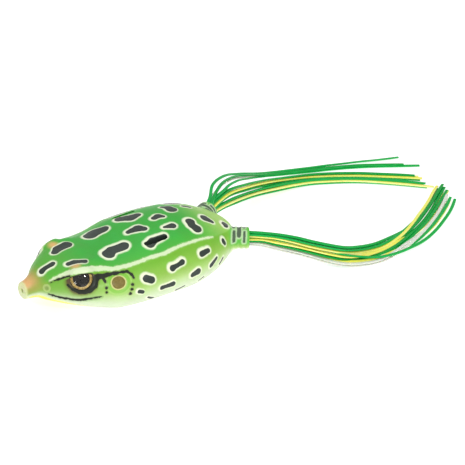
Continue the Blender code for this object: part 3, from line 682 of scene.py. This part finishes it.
def eye_cutters(side):
    """The closed shapes that make the eye's recess, and the opening whose top the lid's edge cuts off."""
    eye, facing, up, rear = eye_axes(side)
    back, gap = EYE_PROUD - IRIS_THICKNESS - LENS_HEIGHT - 2 * GAP, 0.1
    recess = [(back, LENS_RADIUS + gap)] + [(reach + 0.06, radius + gap) for reach, radius in dome_profile()]
    yield loft(turned(recess, 72, eye, facing))
    turn = np.linspace(0, 2 * np.pi, 96, endpoint=False)
    window = []
    for reach, wider, lift in ((-0.45, 0.1, 0), (0.3, 0.12, 0), (3, 1.2, 0.6)):
        radius = LENS_RADIUS + wider
        across = radius * np.cos(turn)
        high = np.minimum(radius * np.sin(turn), lid_edge(across) + lift)
        window.append(eye + reach * facing + across[:, None] * rear + high[:, None] * up)
    yield loft([ring[::-1] for ring in window] if side > 0 else window)


def slit_cutter(side):
    """A slit that leans forward as it rises, as the hook's point does when it is lifted."""
    turn = np.linspace(0, 2 * np.pi, 28, endpoint=False)
    across = side * SLIT_Y + SLIT_HALF_WIDTH * np.sign(np.sin(turn)) * np.abs(np.sin(turn)) ** 0.5
    rings = []
    for z, first, end in ((9.0, 29.4, 38.4), (13.4, 29.4, 37.8), (14.3, 29.2, 36.6), (15.2, 28.9, 35.3),
                          (17.5, 27.6, 34.2)):
        stations = (first + end) / 2 + (end - first) / 2 * np.cos(turn)
        rings.append(np.stack([stations, across, np.full(28, z)], axis=1))
    return loft(rings)


def skin():
    """The hollow skin in millimetres, with its openings cut and its marks written to it."""
    form_points, form_faces = body_form()
    form = BVHTree.FromPolygons([tuple(p) for p in form_points], form_faces)
    mesh, raised, flush = skin_outside(form_points, form_faces, form)
    thing = make_from("soft_skin", mesh)
    front = np.concatenate([[3.1, 3.9, 4.9, 6.0], np.linspace(8, BODY_LENGTH - TAIL_ROUND, 26)])
    inner = along_body(front, BODY_LENGTH - 1.4, 14)
    thing = cut(thing, *loft(body_rings(inner, 72, smooth(WALLS, inner))))
    line_hole = [(reach, LINE_HOLE_RADIUS + wider)
                 for reach, wider in ((-1, 0.5), (-0.2, 0.3), (0.1, 0.08), (0.5, 0), (4, 0))]
    thing = cut(thing, *loft(turned(line_hole, 32, (0, 0, SNOUT_Z), (1, 0, 0))))
    socket_bore = [(reach, SOCKET_BORE + wider)
                   for reach, wider in ((-SOCKET_ROOT - 2, 0), (-0.5, 0), (-0.1, 0.12), (1, 0.6))]
    for side in (-1, 1):
        thing = cut(thing, *loft(turned(socket_bore, 56, *socket_frame(side))))
        for cutter in eye_cutters(side):
            thing = cut(thing, *cutter)
        thing = cut(thing, *slit_cutter(side))
    paint_skin(thing.data, form, raised, flush)
    return thing


def paint_skin(mesh, form, raised, flush):
    """Writes what the skin's shader needs to know about each vertex, in millimetres."""
    real = coordinates(mesh)
    tree = KDTree(len(raised))
    for index, point in enumerate(raised.tolist()):
        tree.insert(point, index)
    tree.balance()
    found = np.array([tree.find(point)[1] for point in real.tolist()])
    inside = np.linalg.norm(real - raised[found], axis=1)
    lowered = real + flush[found] - raised[found]
    points, _ = nearest(form, lowered)
    # the marks end where the sockets stand off the body, and inside the skin
    off = np.maximum(np.linalg.norm(points - lowered, axis=1) - 0.8, 0) + np.maximum(inside - 0.5, 0)
    p = left_half(points)
    spots = [chain_on_skin(chain) for _, chain in SPOTS]
    # the left slit lies in a dark spot; its sides get the dark ink as well, and so does the right one's
    # inner side: partly the spot's own colour, partly painted shade inside the slits
    x, y, z = real.T
    slit = (np.abs(np.abs(y) - SLIT_Y) < 0.8) & (x > 27) & (x < 38) & (y < 7.4) & (z > 11)
    write_attribute(mesh, "spot", np.where(slit & (inside > 0.12), -0.6, nearest_of(points, spots) + off))
    # the cream edge is widest up and towards the snout, as if the two inks were printed out of register
    halos = []
    for (width, _), spot in zip(SPOTS, spots):
        shifted = spot + (-0.15, 0, 0.08, 0) + (0, 0, 0, width * 0.72)
        shifted[:, 1] *= 0.985
        halos.append(shifted)
    write_attribute(mesh, "halo", nearest_of(points, halos) + off)
    write_attribute(mesh, "fold", nearest_of(p, [chain_on_skin(FOLD)]) + off)
    write_attribute(mesh, "mask", nearest_of(p, [chain_on_skin(chain) for chain in MASK]) + off)
    write_attribute(mesh, "mouth", nearest_of(p, [chain_on_skin(MOUTH)]) + off)

    bars, tube = np.full(len(points), 8.0), np.zeros(len(points))
    for side in (-1, 1):
        along, out, radial = from_socket(real, side)
        turn = np.arctan2(radial @ np.array([np.sin(SPLAY), -side * np.cos(SPLAY), 0]) * -side, radial[:, 2])
        on_tube = (along > -5.8) & (out < 3.6)
        for place, half, start, end in SOCKET_BARS:
            past = np.maximum(np.abs(turn - (start + end) / 2) - (end - start) / 2, 0) * 2.7
            d = np.hypot(along - place - 0.12 * turn, past) - half
            bars = np.where(on_tube, np.minimum(bars, d), bars)
        tube = np.maximum(tube, ease(along, -5.6, -4.4) * ease(out, 4.4, 3.2))
    write_attribute(mesh, "bar", bars)

    # the airbrushed ground: green back, lime flank, cream belly, orange snout
    s, y, z = points.T
    middle = half_sizes(np.clip(s, 0, BODY_LENGTH - 0.1))[3]
    angle = np.degrees(np.arctan2(np.abs(y), z - middle))
    fold_line = np.interp(s, *np.array([(a, b) for a, b, _ in FOLD]).T)
    base = np.tile(colour(52, 168, 54), (len(points), 1))

    def tint(amount, shade):
        nonlocal base
        amount = np.clip(amount, 0, 1)[:, None]
        base = base * (1 - amount) + shade * amount

    tint(ease(s, 19, 4) * 0.75, colour(96, 170, 56))
    tint(ease(s, 41, 54) * 0.95, colour(166, 207, 98))
    tint(ease(angle, fold_line - 22, fold_line) * 0.35, colour(98, 184, 60))
    tint(ease(angle, fold_line - 1.2, fold_line + 1.6), colour(114, 178, 50))
    tint(ease(angle, fold_line + 4, 76) * 0.8, colour(140, 188, 74))
    tint(ease(angle, 74, 90) * 0.75, colour(186, 216, 134))
    tint(ease(angle, 82, 99), colour(208, 222, 188))
    tint(ease(angle, 100, 116), colour(222, 228, 206))
    tint(ease(s, 50, 57) * ease(angle, 78, 60) * 0.55, colour(158, 204, 96))
    cheek = ease(s, 18, 8) * ease(angle, fold_line, fold_line + 4) * ease(angle, 100, 84)
    tint(cheek * 0.6, colour(104, 166, 60))
    # the sockets go from green above to cream below
    low = real[:, 2] - SOCKET_Z
    tint(tube, colour(96, 184, 66))
    tint(tube * ease(low, 0.2, -1.4), colour(160, 204, 104))
    tint(tube * ease(low, -0.9, -2.5), colour(222, 232, 196))
    # the lower jaw is yellow at the front
    tint(ease(angle, 103, 113) * ease(s, 15, 8) * ease(s, 0.4, 1.6) * 0.95, colour(234, 230, 90))
    # the snout is orange above and pale green at its end
    tint(ease(s, 5.6, 2.2) * ease(angle, 104, 62) * 0.8, colour(168, 160, 80))
    tint(ease(s, 4.2, 1.0) * ease(angle, 66, 28) * 0.85, colour(226, 172, 116))
    tint(ease(s, 0.7, 0.15) * 0.85, colour(212, 220, 164))
    for place, radius in (((11.0, 46.5), 2.1), ((11.3, -40), 2.0)):
        away = np.linalg.norm(points - on_skin([place]), axis=1)
        tint(ease(away, radius, 0.3) * 0.9, colour(222, 172, 110))
    write_attribute(mesh, "ground", base)


def skin_look():
    """Airbrushed soft plastic, and over it the printed marks from the lowest layer of ink to the highest;
    the last, along the lid's edge, is partly painted shade.
    """
    g = Graph("printed_soft_skin")
    spray, speck = g.minus(g.noise(3.5, 3), 0.5), g.minus(g.noise(0.35, 2), 0.5)
    ground = g.add("ShaderNodeHueSaturation")
    g.put(ground.inputs["Color"], g.attribute("ground", "Color"))
    g.put(ground.inputs["Value"], g.plus(1.0, g.plus(g.times(spray, 0.22), g.times(speck, 0.10))))
    g.put(ground.inputs["Hue"], g.plus(0.5, g.times(spray, 0.018)))

    def here_from(place):
        return g.vector("SUBTRACT", here, metres(place) * 1000)

    # the ear is a little longer than it is tall
    here = g.left_place()
    ear = g.vector("LENGTH", g.vector("MULTIPLY", here_from(on_skin([EAR])[0]), (0.88, 1.0, 1.0)))
    ear = g.wobble(ear, (1.1, 0.1))
    ear_ring = g.math("ABSOLUTE", g.minus(ear, 2.75))
    ear_grain = g.times(g.step(g.noise(0.5, 3), 0.4, 0.75), 0.5)
    nostril = g.wobble(g.vector("LENGTH", here_from(on_skin([NOSTRIL])[0])), (0.7, 0.2))

    # the brown stain round the eye lies below the lid's edge, which is as in lid_edge()
    centre, facing, up, rear = eye_axes(-1)
    from_eye = here_from(centre)
    depth = g.math("ABSOLUTE", g.vector("DOT_PRODUCT", from_eye, facing))
    across = g.vector("DOT_PRODUCT", from_eye, rear)
    edge = g.plus(0.92, g.times(across, g.minus(0.12, g.times(across, 0.05))))
    over_lid = g.minus(g.vector("DOT_PRODUCT", from_eye, up), edge)
    around = g.vector("LENGTH", g.vector("CROSS_PRODUCT", from_eye, facing))
    stain = g.wobble(g.plus(around, g.times(depth, 0.2)), (1.6, 0.5), (0.6, 0.2))
    below = g.step(over_lid, 0.25, -0.1)
    # the dark line along the lid's edge: partly a printed line, partly painted shade under the overhanging
    # lid
    past = g.math("MAXIMUM", g.minus(g.math("ABSOLUTE", across), 2.5), 0.0)
    lid_line_and_shade = g.plus(g.math("MAXIMUM", g.math("ABSOLUTE", over_lid), past),
                     g.math("MAXIMUM", g.minus(depth, 2.0), 0.0))

    fold = g.wobble(g.attribute("fold"), (1.4, 0.5), (0.5, 0.36))
    halo = g.wobble(g.attribute("halo"), (1.5, 0.4), (0.5, 0.12))
    spot = g.wobble(g.attribute("spot"), (1.3, 0.22), (0.45, 0.08))
    bar = g.wobble(g.attribute("bar"), (0.9, 0.3))
    mouth = g.wobble(g.attribute("mouth"), (0.8, 0.36), (0.35, 0.2))
    mask = g.wobble(g.attribute("mask"), (1.0, 0.5), (0.4, 0.3))
    spot_ink = g.mix(g.times(g.noise(0.8, 3), 0.6), colour(40, 50, 44), colour(62, 73, 67))
    black = colour(32, 38, 26)

    # each layer: a distance, where its ink starts and where it is full, how thick it is, and its shade
    now = ground.outputs[0]
    for distance, start, full, strength, shade in (
            (ear, 3.4, 2.4, 0.55, colour(126, 196, 66)),
            (ear_ring, 0.3, 0.05, 0.5, colour(176, 214, 120)),
            (ear, 1.84, 1.68, 1.0, colour(206, 206, 132)),
            (ear, 1.54, 1.4, 1.0, colour(118, 103, 46)),
            (ear, 1.4, 1.2, ear_grain, colour(148, 130, 66)),
            (stain, 5.0, 3.6, g.times(below, 0.7), colour(116, 120, 54)),
            (stain, 4.3, 3.3, g.times(below, 0.95), colour(84, 64, 46)),
            (fold, 0.42, 0.0, 0.5, colour(196, 220, 160)),
            (fold, 0.12, -0.08, 0.9, colour(214, 230, 190)),
            (halo, 0.46, -0.2, 0.9, colour(238, 243, 214)),
            (spot, 0.05, -0.05, 1.0, spot_ink),
            (bar, 0.6, 0.1, 0.6, colour(222, 234, 204)),
            (bar, 0.18, -0.14, 0.92, colour(54, 74, 58)),
            (nostril, 1.15, 0.8, 0.5, colour(196, 212, 140)),
            (nostril, 0.8, 0.3, 0.6, colour(116, 142, 66)),
            (mouth, 0.5, 0.0, 0.35, colour(84, 130, 50)),
            (mouth, 0.06, -0.04, 1.0, black),
            (mask, 0.35, 0.0, 0.4, colour(92, 88, 44)),
            (mask, 0.05, -0.06, 1.0, black),
            (lid_line_and_shade, 0.32, 0.12, 0.92, colour(44, 38, 26))):
        now = g.over(now, g.step(distance, start, full), shade, strength)

    g.set(Base_Color=now, Roughness=g.plus(0.4, g.times(spray, 0.16)), Specular_IOR_Level=0.28,
          Subsurface_Weight=0.06, Coat_Weight=0.05, Coat_Roughness=0.2)
    g.put(g.shader.inputs["Subsurface Radius"], (0.4, 1.0, 0.25))
    g.put(g.shader.inputs["Subsurface Scale"], 0.0006)
    inked = g.step(g.math("MINIMUM", spot, mask), 0.08, -0.08, 0.0, 0.3)
    grain = g.plus(g.times(g.noise(0.28, 3), 0.35), g.times(g.noise(1.7, 2), 0.5))
    g.bump(g.plus(grain, inked), 0.035)
    return g.material


# ---- the eyes ----
def dome_profile():
    """The clear dome's outside, from its rim to its top, as (reach, radius)."""
    back, rim = EYE_PROUD - LENS_HEIGHT, 0.22
    return [(back + rim + (LENS_HEIGHT - rim) * np.sin(t), LENS_RADIUS * np.cos(t) ** 0.9)
            for t in np.linspace(0, np.pi / 2, 18)[:-1]]


def iris_look():
    g = Graph("gold_iris_foil")
    reach, turn = g.attribute("reach"), g.attribute("turn")
    # streaks run outward from the pupil
    streak = g.noise(0.45, 3, g.xyz(g.times(g.math("SINE", turn), 0.004),
                                    g.times(g.math("COSINE", turn), 0.004), g.times(reach, 0.0002)))
    gold = g.mix(g.step(streak, 0.35, 0.7), colour(202, 164, 74), colour(240, 214, 130))
    edge = g.step(g.wobble(reach, (0.7, 0.12)), 2.3, 2.62)
    now = g.mix(edge, gold, colour(96, 62, 34))
    now = g.mix(g.step(g.wobble(reach, (0.9, 0.1)), 1.96, 1.88), now, colour(10, 8, 6))
    g.set(Base_Color=now, Roughness=0.32, Metallic=g.step(reach, 1.9, 2.0, 0.0, 0.35),
          Specular_IOR_Level=g.step(reach, 1.9, 2.0, 0.02, 0.5))
    g.bump(streak, 0.04)
    return g.material


def lens_look():
    g = Graph("clear_eye_dome")
    g.set(Base_Color=colour(250, 248, 240), Roughness=0.02, Transmission_Weight=1.0, IOR=1.38,
          Specular_IOR_Level=0.3, Coat_Weight=0.15, Coat_Roughness=0.02)
    return g.material


def iris(name, side, look):
    """A disc that is dished a little towards its middle, with polar coordinates for its shader."""
    eye, facing = eye_frame(side)
    top = EYE_PROUD - LENS_HEIGHT - 0.06
    bottom, rounding, dish = top - IRIS_THICKNESS, 0.06, 0.16
    profile = [(bottom, 0.3), (bottom, LENS_RADIUS - 0.1), (bottom + 0.1, LENS_RADIUS),
               (top - rounding, LENS_RADIUS), (top, LENS_RADIUS - rounding)]
    profile += [(top - dish * np.sin(np.pi * (1 - r / 2.54)) ** 2, r) for r in np.linspace(2.45, 0.15, 22)]
    disc = make(name + "_iris", *loft(turned(profile, 72, eye, facing)), look=look)
    points = coordinates(disc.data) * 1000 + (OVERALL / 2, 0, 0) - eye
    flat = points - (points @ facing)[:, None] * facing
    sideways = unit(np.cross(facing, (0, 0, 1)))
    write_attribute(disc.data, "reach", np.linalg.norm(flat, axis=1))
    write_attribute(disc.data, "turn", np.arctan2(flat @ np.cross(facing, sideways), flat @ sideways))
    return disc


def eyes():
    foil, clear = iris_look(), lens_look()
    for side, name in ((-1, "left"), (1, "right")):
        disc = iris(name, side, foil)
        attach(disc, "body")
        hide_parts(name + "_eye_iris")

        back = EYE_PROUD - LENS_HEIGHT
        dome = [(back, 0.2), (back, LENS_RADIUS - 0.05), (back + 0.05, LENS_RADIUS)] + dome_profile()
        lens = make(name + "_eye_dome", *loft(turned(dome, 72, *eye_frame(side))), look=clear)
        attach(lens, "body")
        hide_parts(name + "_eye_lens")


# ---- the skirts ----
def rubber_look(name, dark, light, clear=0.0):
    """Flat skirt rubber: fine streaks along the strand, and a painted highlight that makes its edges paler.
    """
    g = Graph(name + "_skirt_rubber")
    across, along, tone = g.attribute("across"), g.attribute("along"), g.attribute("tone")
    place = g.xyz(g.times(across, 0.0006), g.times(along, 0.00006), g.times(tone, 0.01))
    streak, patch = g.noise(0.22, 3, place), g.noise(0.5, 2, place)
    # the edges are made paler: a painted highlight
    edge = g.step(g.math("ABSOLUTE", across), 0.55, 1.0)
    amount = g.plus(g.times(g.step(streak, 0.3, 0.75), 0.45),
                    g.plus(g.times(edge, 0.35), g.times(g.minus(tone, 0.5), 0.5)))
    now = g.mix(g.math("MAXIMUM", g.math("MINIMUM", amount, 1.0), 0.0), dark, light)
    g.set(Base_Color=now, Roughness=g.plus(0.3, g.times(patch, 0.16)), Specular_IOR_Level=0.25,
          Subsurface_Weight=0.12, Subsurface_Scale=0.0005, Transmission_Weight=clear, IOR=1.41)
    g.bump(g.plus(streak, g.times(patch, 0.5)), 0.03)
    return g.material


def strand_outline():
    """A rounded rectangle, across and through the strand."""
    wide, high, corner = STRAND_WIDTH / 2, STRAND_THICKNESS / 2, 0.09
    outline = []
    for quarter, (x, z) in enumerate(((1, 1), (-1, 1), (-1, -1), (1, -1))):
        for turn in np.radians([quarter * 90, quarter * 90 + 45, quarter * 90 + 90]):
            outline.append((x * (wide - corner) + corner * np.cos(turn),
                            z * (high - corner) + corner * np.sin(turn)))
    return np.array(outline)


def strand_line(lock, number, phase, pace):
    """The middle of a strand behind the mouth, the distances along it, and its outward directions."""
    side = lock["side"]
    route = [(MOUTH_STATION + back, side * (SOCKET_Y + out), height) for back, out, height in lock["route"]]
    step = 0.25
    curve, along = spline(route, step)
    length = along[-1] - lock["trim"][number]
    if length > along[-1]:
        more = np.arange(step, length - along[-1], step)
        curve = np.concatenate([curve, curve[-1] + more[:, None] * unit(curve[-1] - curve[-2])])
        along = np.concatenate([along, along[-1] + more])
    keep = along <= length
    curve, along = curve[keep], along[keep]
    tangent = unit(np.gradient(curve, axis=0))
    outward = unit(np.stack([tangent[:, 1], -tangent[:, 0], np.zeros(len(curve))], axis=1)) * -side
    upward = np.cross(tangent, outward) * side
    # each left lock turns over once on its way, so that its strands cross
    lane, layer = PLACES[len(lock["strands"])][number]
    first, last, half_turns = lock.get("roll", (0, 1, 0))
    roll = np.pi * half_turns * ease(along, first, last)
    lane, layer = lane * np.cos(roll) - layer * np.sin(roll), lane * np.sin(roll) + layer * np.cos(roll)
    settle = ease(along, 6, 20)
    sway = 0.06 * settle * np.sin(along / pace[0] * 2 + phase[0])
    lift = 0.03 * settle * (1 + np.sin(along / pace[1] * 2 + phase[1]))
    # in the air and at their ends the strands stand a little apart
    air = ease(along, 44, 30)
    apart = ease(along, 5, 14) * air + 0.6 * ease(along, length - 16, length)
    stray = lock["loose"][number] if "loose" in lock else 0
    loose = stray * ease(along, 3, 11) * ease(along, 38, 22)
    curve = (curve + (lane * LANE * (1 + 0.3 * apart) + sway + loose)[:, None] * outward
             + (layer * LAYER * (1 + 0.35 * apart * air) + lift)[:, None] * upward)
    return curve, along, outward


def write_rubber(mesh, across, along, tone):
    """Gives a loft's vertices what rubber_look() reads; its two end points come last."""
    write_attribute(mesh, "across", np.append(across, [0, 0]))
    write_attribute(mesh, "along", np.append(along, [along[0], along[-1]]))
    write_attribute(mesh, "tone", np.full(len(mesh.vertices), tone))


def strand(lock, number, look):
    """One flat strand from inside its socket to its cut tip."""
    side = lock["side"]
    mouth, axis = socket_frame(side)
    phase, pace = RANDOM.uniform(0, 6.28, 3), RANDOM.uniform(11, 19, 3)
    curve, along, outward = strand_line(lock, number, phase, pace)
    # the part in the socket runs straight back from the mouth, drawn in towards the tie
    back = np.arange(-2.0, 0, 0.25)
    root = curve[0] + back[:, None] * axis
    centre = mouth + back[:, None] * axis
    root = centre + (root - centre) * (1 + 0.12 * back[:, None] / 2.0)
    curve = np.concatenate([root, curve])
    along = np.concatenate([back, along])
    outward = np.concatenate([np.repeat(outward[:1], len(back), 0), outward])
    rows = np.unique(np.append(np.arange(0, len(curve), 2), len(curve) - 1))
    curve, along, outward = curve[rows], along[rows], outward[rows]
    tangent = unit(np.gradient(curve, axis=0))
    outward = unit(outward - np.sum(outward * tangent, axis=1, keepdims=True) * tangent)
    upward = np.cross(tangent, outward) * side
    twist = np.radians(11) * ease(along, 3, 18) * np.sin(along / pace[2] + phase[2])
    flat = np.cos(twist)[:, None] * outward + np.sin(twist)[:, None] * upward
    thick = np.cos(twist)[:, None] * upward - np.sin(twist)[:, None] * outward

    outline = strand_outline()
    x, z = outline[:, :1], outline[:, 1:]
    # the strand thins a little towards its end, and its square-cut tip has a fine bevel
    thin, bevel = 1 - 0.1 * ease(along, along[-1] - 3, along[-1]), 0.06
    rings = [c + w * (x * a + z * b) for c, a, b, w in zip(curve, flat, thick, thin)]
    tip = rings[-1]
    rings[-1] = tip.mean(0) + (tip - tip.mean(0)) * 0.9
    rings.insert(-1, tip - tangent[-1] * bevel)
    along = np.insert(along, -1, along[-1] - bevel)
    made = make("%s_skirt_strand_%d" % (lock["name"], number + 1), *loft(rings), look=look, sharp=35.0)
    across = np.tile(outline[:, 0] / (STRAND_WIDTH / 2), len(rings))
    write_rubber(made.data, across, np.repeat(along, len(outline)), RANDOM.uniform(0, 1))
    metres(mouth - 1.6 * axis)
    metres(mouth + 3.2 * axis)
    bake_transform(made)
    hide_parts("%s_strand_%d_%s" % (lock["name"], number + 1, lock["strands"][number]))
    length = float(np.linalg.norm(np.diff(curve, axis=0), axis=1).sum()) * 0.001
    metres(mouth)
    [list(p) for p in metres(curve[::2])]


def gathered_root(side, name, look):
    """The strands' gathered end in the socket: a fluted plug with a neck under its tie."""
    mouth, axis = socket_frame(side)
    profile = [(-5.4, 0.9), (-5.3, 1.45), (-4.4, 1.5), (-3.95, 1.32), (-3.8, 1.27), (-2.2, 1.27),
               (-1.95, 1.5), (-1.5, 1.85), (-1.0, 2.0), (-0.7, 1.96), (-0.55, 1.6), (-0.5, 0.8)]
    segments, flutes = 84, 14
    turn = np.linspace(0, 2 * np.pi, segments, endpoint=False)
    flute = 1 - 0.06 * np.abs(np.sin(turn * flutes / 2)) ** 0.5
    rings = []
    for (reach, _), ring in zip(profile, turned(profile, segments, mouth, axis)):
        centre = mouth + axis * reach
        rings.append(centre + (ring - centre) * flute[:, None])
    made = make(name + "_gathered_root", *loft(rings), look=look, sharp=50.0)
    # across runs round the flutes, so the painted highlight of rubber_look() falls between their ridges
    across = np.tile(np.sin(turn * flutes / 2), len(rings))
    write_rubber(made.data, across, np.repeat([reach for reach, _ in profile], segments), 0.2)
    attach(made, "body")
    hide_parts(name + "_skirt_root")


def band_look():
    g = Graph("black_tie_rubber")
    now = g.mix(g.step(g.noise(0.4, 3), 0.4, 0.7), colour(26, 26, 27), colour(44, 44, 45))
    g.set(Base_Color=now, Roughness=g.step(g.noise(0.8, 2), 0.2, 0.8, 0.5, 0.75))
    g.bump(g.noise(0.15, 2), 0.02)
    return g.material


def tie(side, name, look):
    """The band round the gathered root: a flat ring with rounded edges."""
    mouth, axis = socket_frame(side)
    inner, outer, first, last = BAND_INNER, BAND_OUTER, -BAND_START - BAND_LENGTH, -BAND_START
    bevel = 0.12
    profile = [(first + bevel, outer), (last - bevel, outer), (last, outer - bevel), (last, inner + bevel),
               (last - bevel, inner), (first + bevel, inner), (first, inner + bevel), (first, outer - bevel)]
    made = make(name + "_tie_band", *loft(turned(profile, 64, mouth, axis), closed=True), look=look)
    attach(made, "body")
    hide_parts(name + "_skirt_band")


# ---- finishes of the CAD pieces that stay ----
def steel_look():
    g = Graph("black_nickel_wire")
    now = g.mix(g.noise(0.7, 3), colour(70, 70, 74), colour(116, 116, 122))
    g.set(Base_Color=now, Metallic=1.0, Roughness=g.step(g.noise(0.5, 3), 0.2, 0.8, 0.16, 0.34))
    g.bump(g.noise(0.2, 2), 0.006)
    return g.material


def weight_look():
    g = Graph("cast_weight_metal")
    now = g.mix(g.step(g.noise(1.5, 4), 0.35, 0.7), colour(96, 98, 102), colour(142, 144, 148))
    g.set(Base_Color=now, Metallic=0.85, Roughness=g.step(g.noise(0.9, 3), 0.2, 0.8, 0.4, 0.65))
    g.bump(g.noise(0.5, 4), 0.06)
    return g.material


def finish_node(node, look):
    """Gives a CAD piece that stays its finish."""
    for slot in bpy.data.objects[node].material_slots:
        slot.material = look


# ---- the studio ----
def floor():
    reach = 3000
    corners = [(-reach, -reach, 0), (reach, -reach, 0), (reach, reach, 0), (-reach, reach, 0)]
    made = make("floor", corners, [(0, 1, 2, 3)], sharp=None)
    made.location.z = -0.00004
    g = Graph("studio_floor")
    g.set(Base_Color=g.mix(g.noise(60, 2), (0.64, 0.64, 0.64), (0.66, 0.66, 0.66)), Roughness=0.85,
          Specular_IOR_Level=0.1, Emission_Color=(1, 1, 1), Emission_Strength=0.62)
    made.data.materials.append(g.material)


def stand(thing, side, up, back, place):
    """Puts a lamp or the camera in the scene, facing against its back direction."""
    made = bpy.data.objects.new(thing.name, thing)
    made.matrix_world = Matrix(np.vstack([np.c_[side, up, back, place], [0, 0, 0, 1]]).tolist())
    SCENE.collection.objects.link(made)
    return made


def light(name, place, aim, size, power):
    """A square white lamp of that size in metres and power in watts."""
    lamp = bpy.data.lights.new(name, "AREA")
    lamp.shape, lamp.size, lamp.energy = "SQUARE", size, power
    back = unit(np.array(place, float) - np.array(aim, float))
    side = unit(np.cross((0.0, 0.0, 1.0), back))
    stand(lamp, side, np.cross(back, side), back, place)


def studio():
    floor()
    world = bpy.data.worlds.new("studio")
    world.use_nodes = True
    background = world.node_tree.nodes["Background"]
    background.inputs["Color"].default_value = (1, 1, 1, 1)
    background.inputs["Strength"].default_value = 0.62
    SCENE.world = world
    light("key", (-0.25, -0.30, 0.55), (0.01, 0, 0.0), 0.40, 0.55)
    light("top", (0.05, 0.15, 0.60), (0.01, 0, 0), 0.55, 0.9)
    light("glint", (-0.115, -0.64, 0.46), (-0.02, -0.01, 0.01), 0.055, 1.9)
    SCENE.view_settings.view_transform = "Standard"


def camera():
    """A long lens 600 mm away, 31 degrees round to the frog's left front and 29 degrees up."""
    turn, rise, distance = np.radians(-31.0), np.radians(29.0), 0.6
    sensor, picture_pixels, pixels_per_metre = 36.0, 465, 4150.0
    side = np.array([np.cos(turn), np.sin(turn), 0.0])
    up = np.array([-np.sin(turn) * np.sin(rise), np.cos(turn) * np.sin(rise), np.cos(rise)])
    back = np.array([np.sin(turn) * np.cos(rise), -np.cos(turn) * np.cos(rise), np.sin(rise)])
    watched = metres((32.0, 0.0, 8.0))
    # the middle of the picture is 22.6 mm right of and 5.0 mm above the watched point
    eye = watched + back * distance
    aim = watched + side * 0.02257 + up * 0.00501
    back = unit(eye - aim)
    side = unit(side - (side @ back) * back)
    up = np.cross(back, side)
    lens = bpy.data.cameras.new("camera")
    lens.sensor_width = sensor
    lens.lens = pixels_per_metre * distance / picture_pixels * sensor
    lens.clip_start, lens.clip_end = 0.01, 20.0
    SCENE.camera = stand(lens, side, up, back, eye)


def main():
    camera()
    green = rubber_look("green", colour(0, 152, 54), colour(24, 186, 86))
    looks = {"green": green,
             "yellow": rubber_look("yellow", colour(238, 234, 84), colour(252, 249, 176)),
             "clear": rubber_look("clear", colour(222, 226, 210), colour(244, 246, 238), clear=0.25)}
    for lock in LOCKS:
        for number, kind in enumerate(lock["strands"]):
            strand(lock, number, looks[kind])
    band = band_look()
    for side, name in ((-1, "left"), (1, "right")):
        gathered_root(side, name, green)
        tie(side, name, band)
    eyes()

    shell = skin()
    mesh = shell.data
    mesh.vertices.foreach_set("co", metres(coordinates(mesh)).ravel())
    mesh.materials.clear()
    mesh.materials.append(skin_look())
    mesh.shade_smooth()
    mesh.set_sharp_from_angle(angle=np.radians(50))
    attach(shell, "body")
    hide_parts("body_skin")

    finish_node("double_hook", steel_look())
    finish_node("keel_weight", weight_look())
    studio()


main()
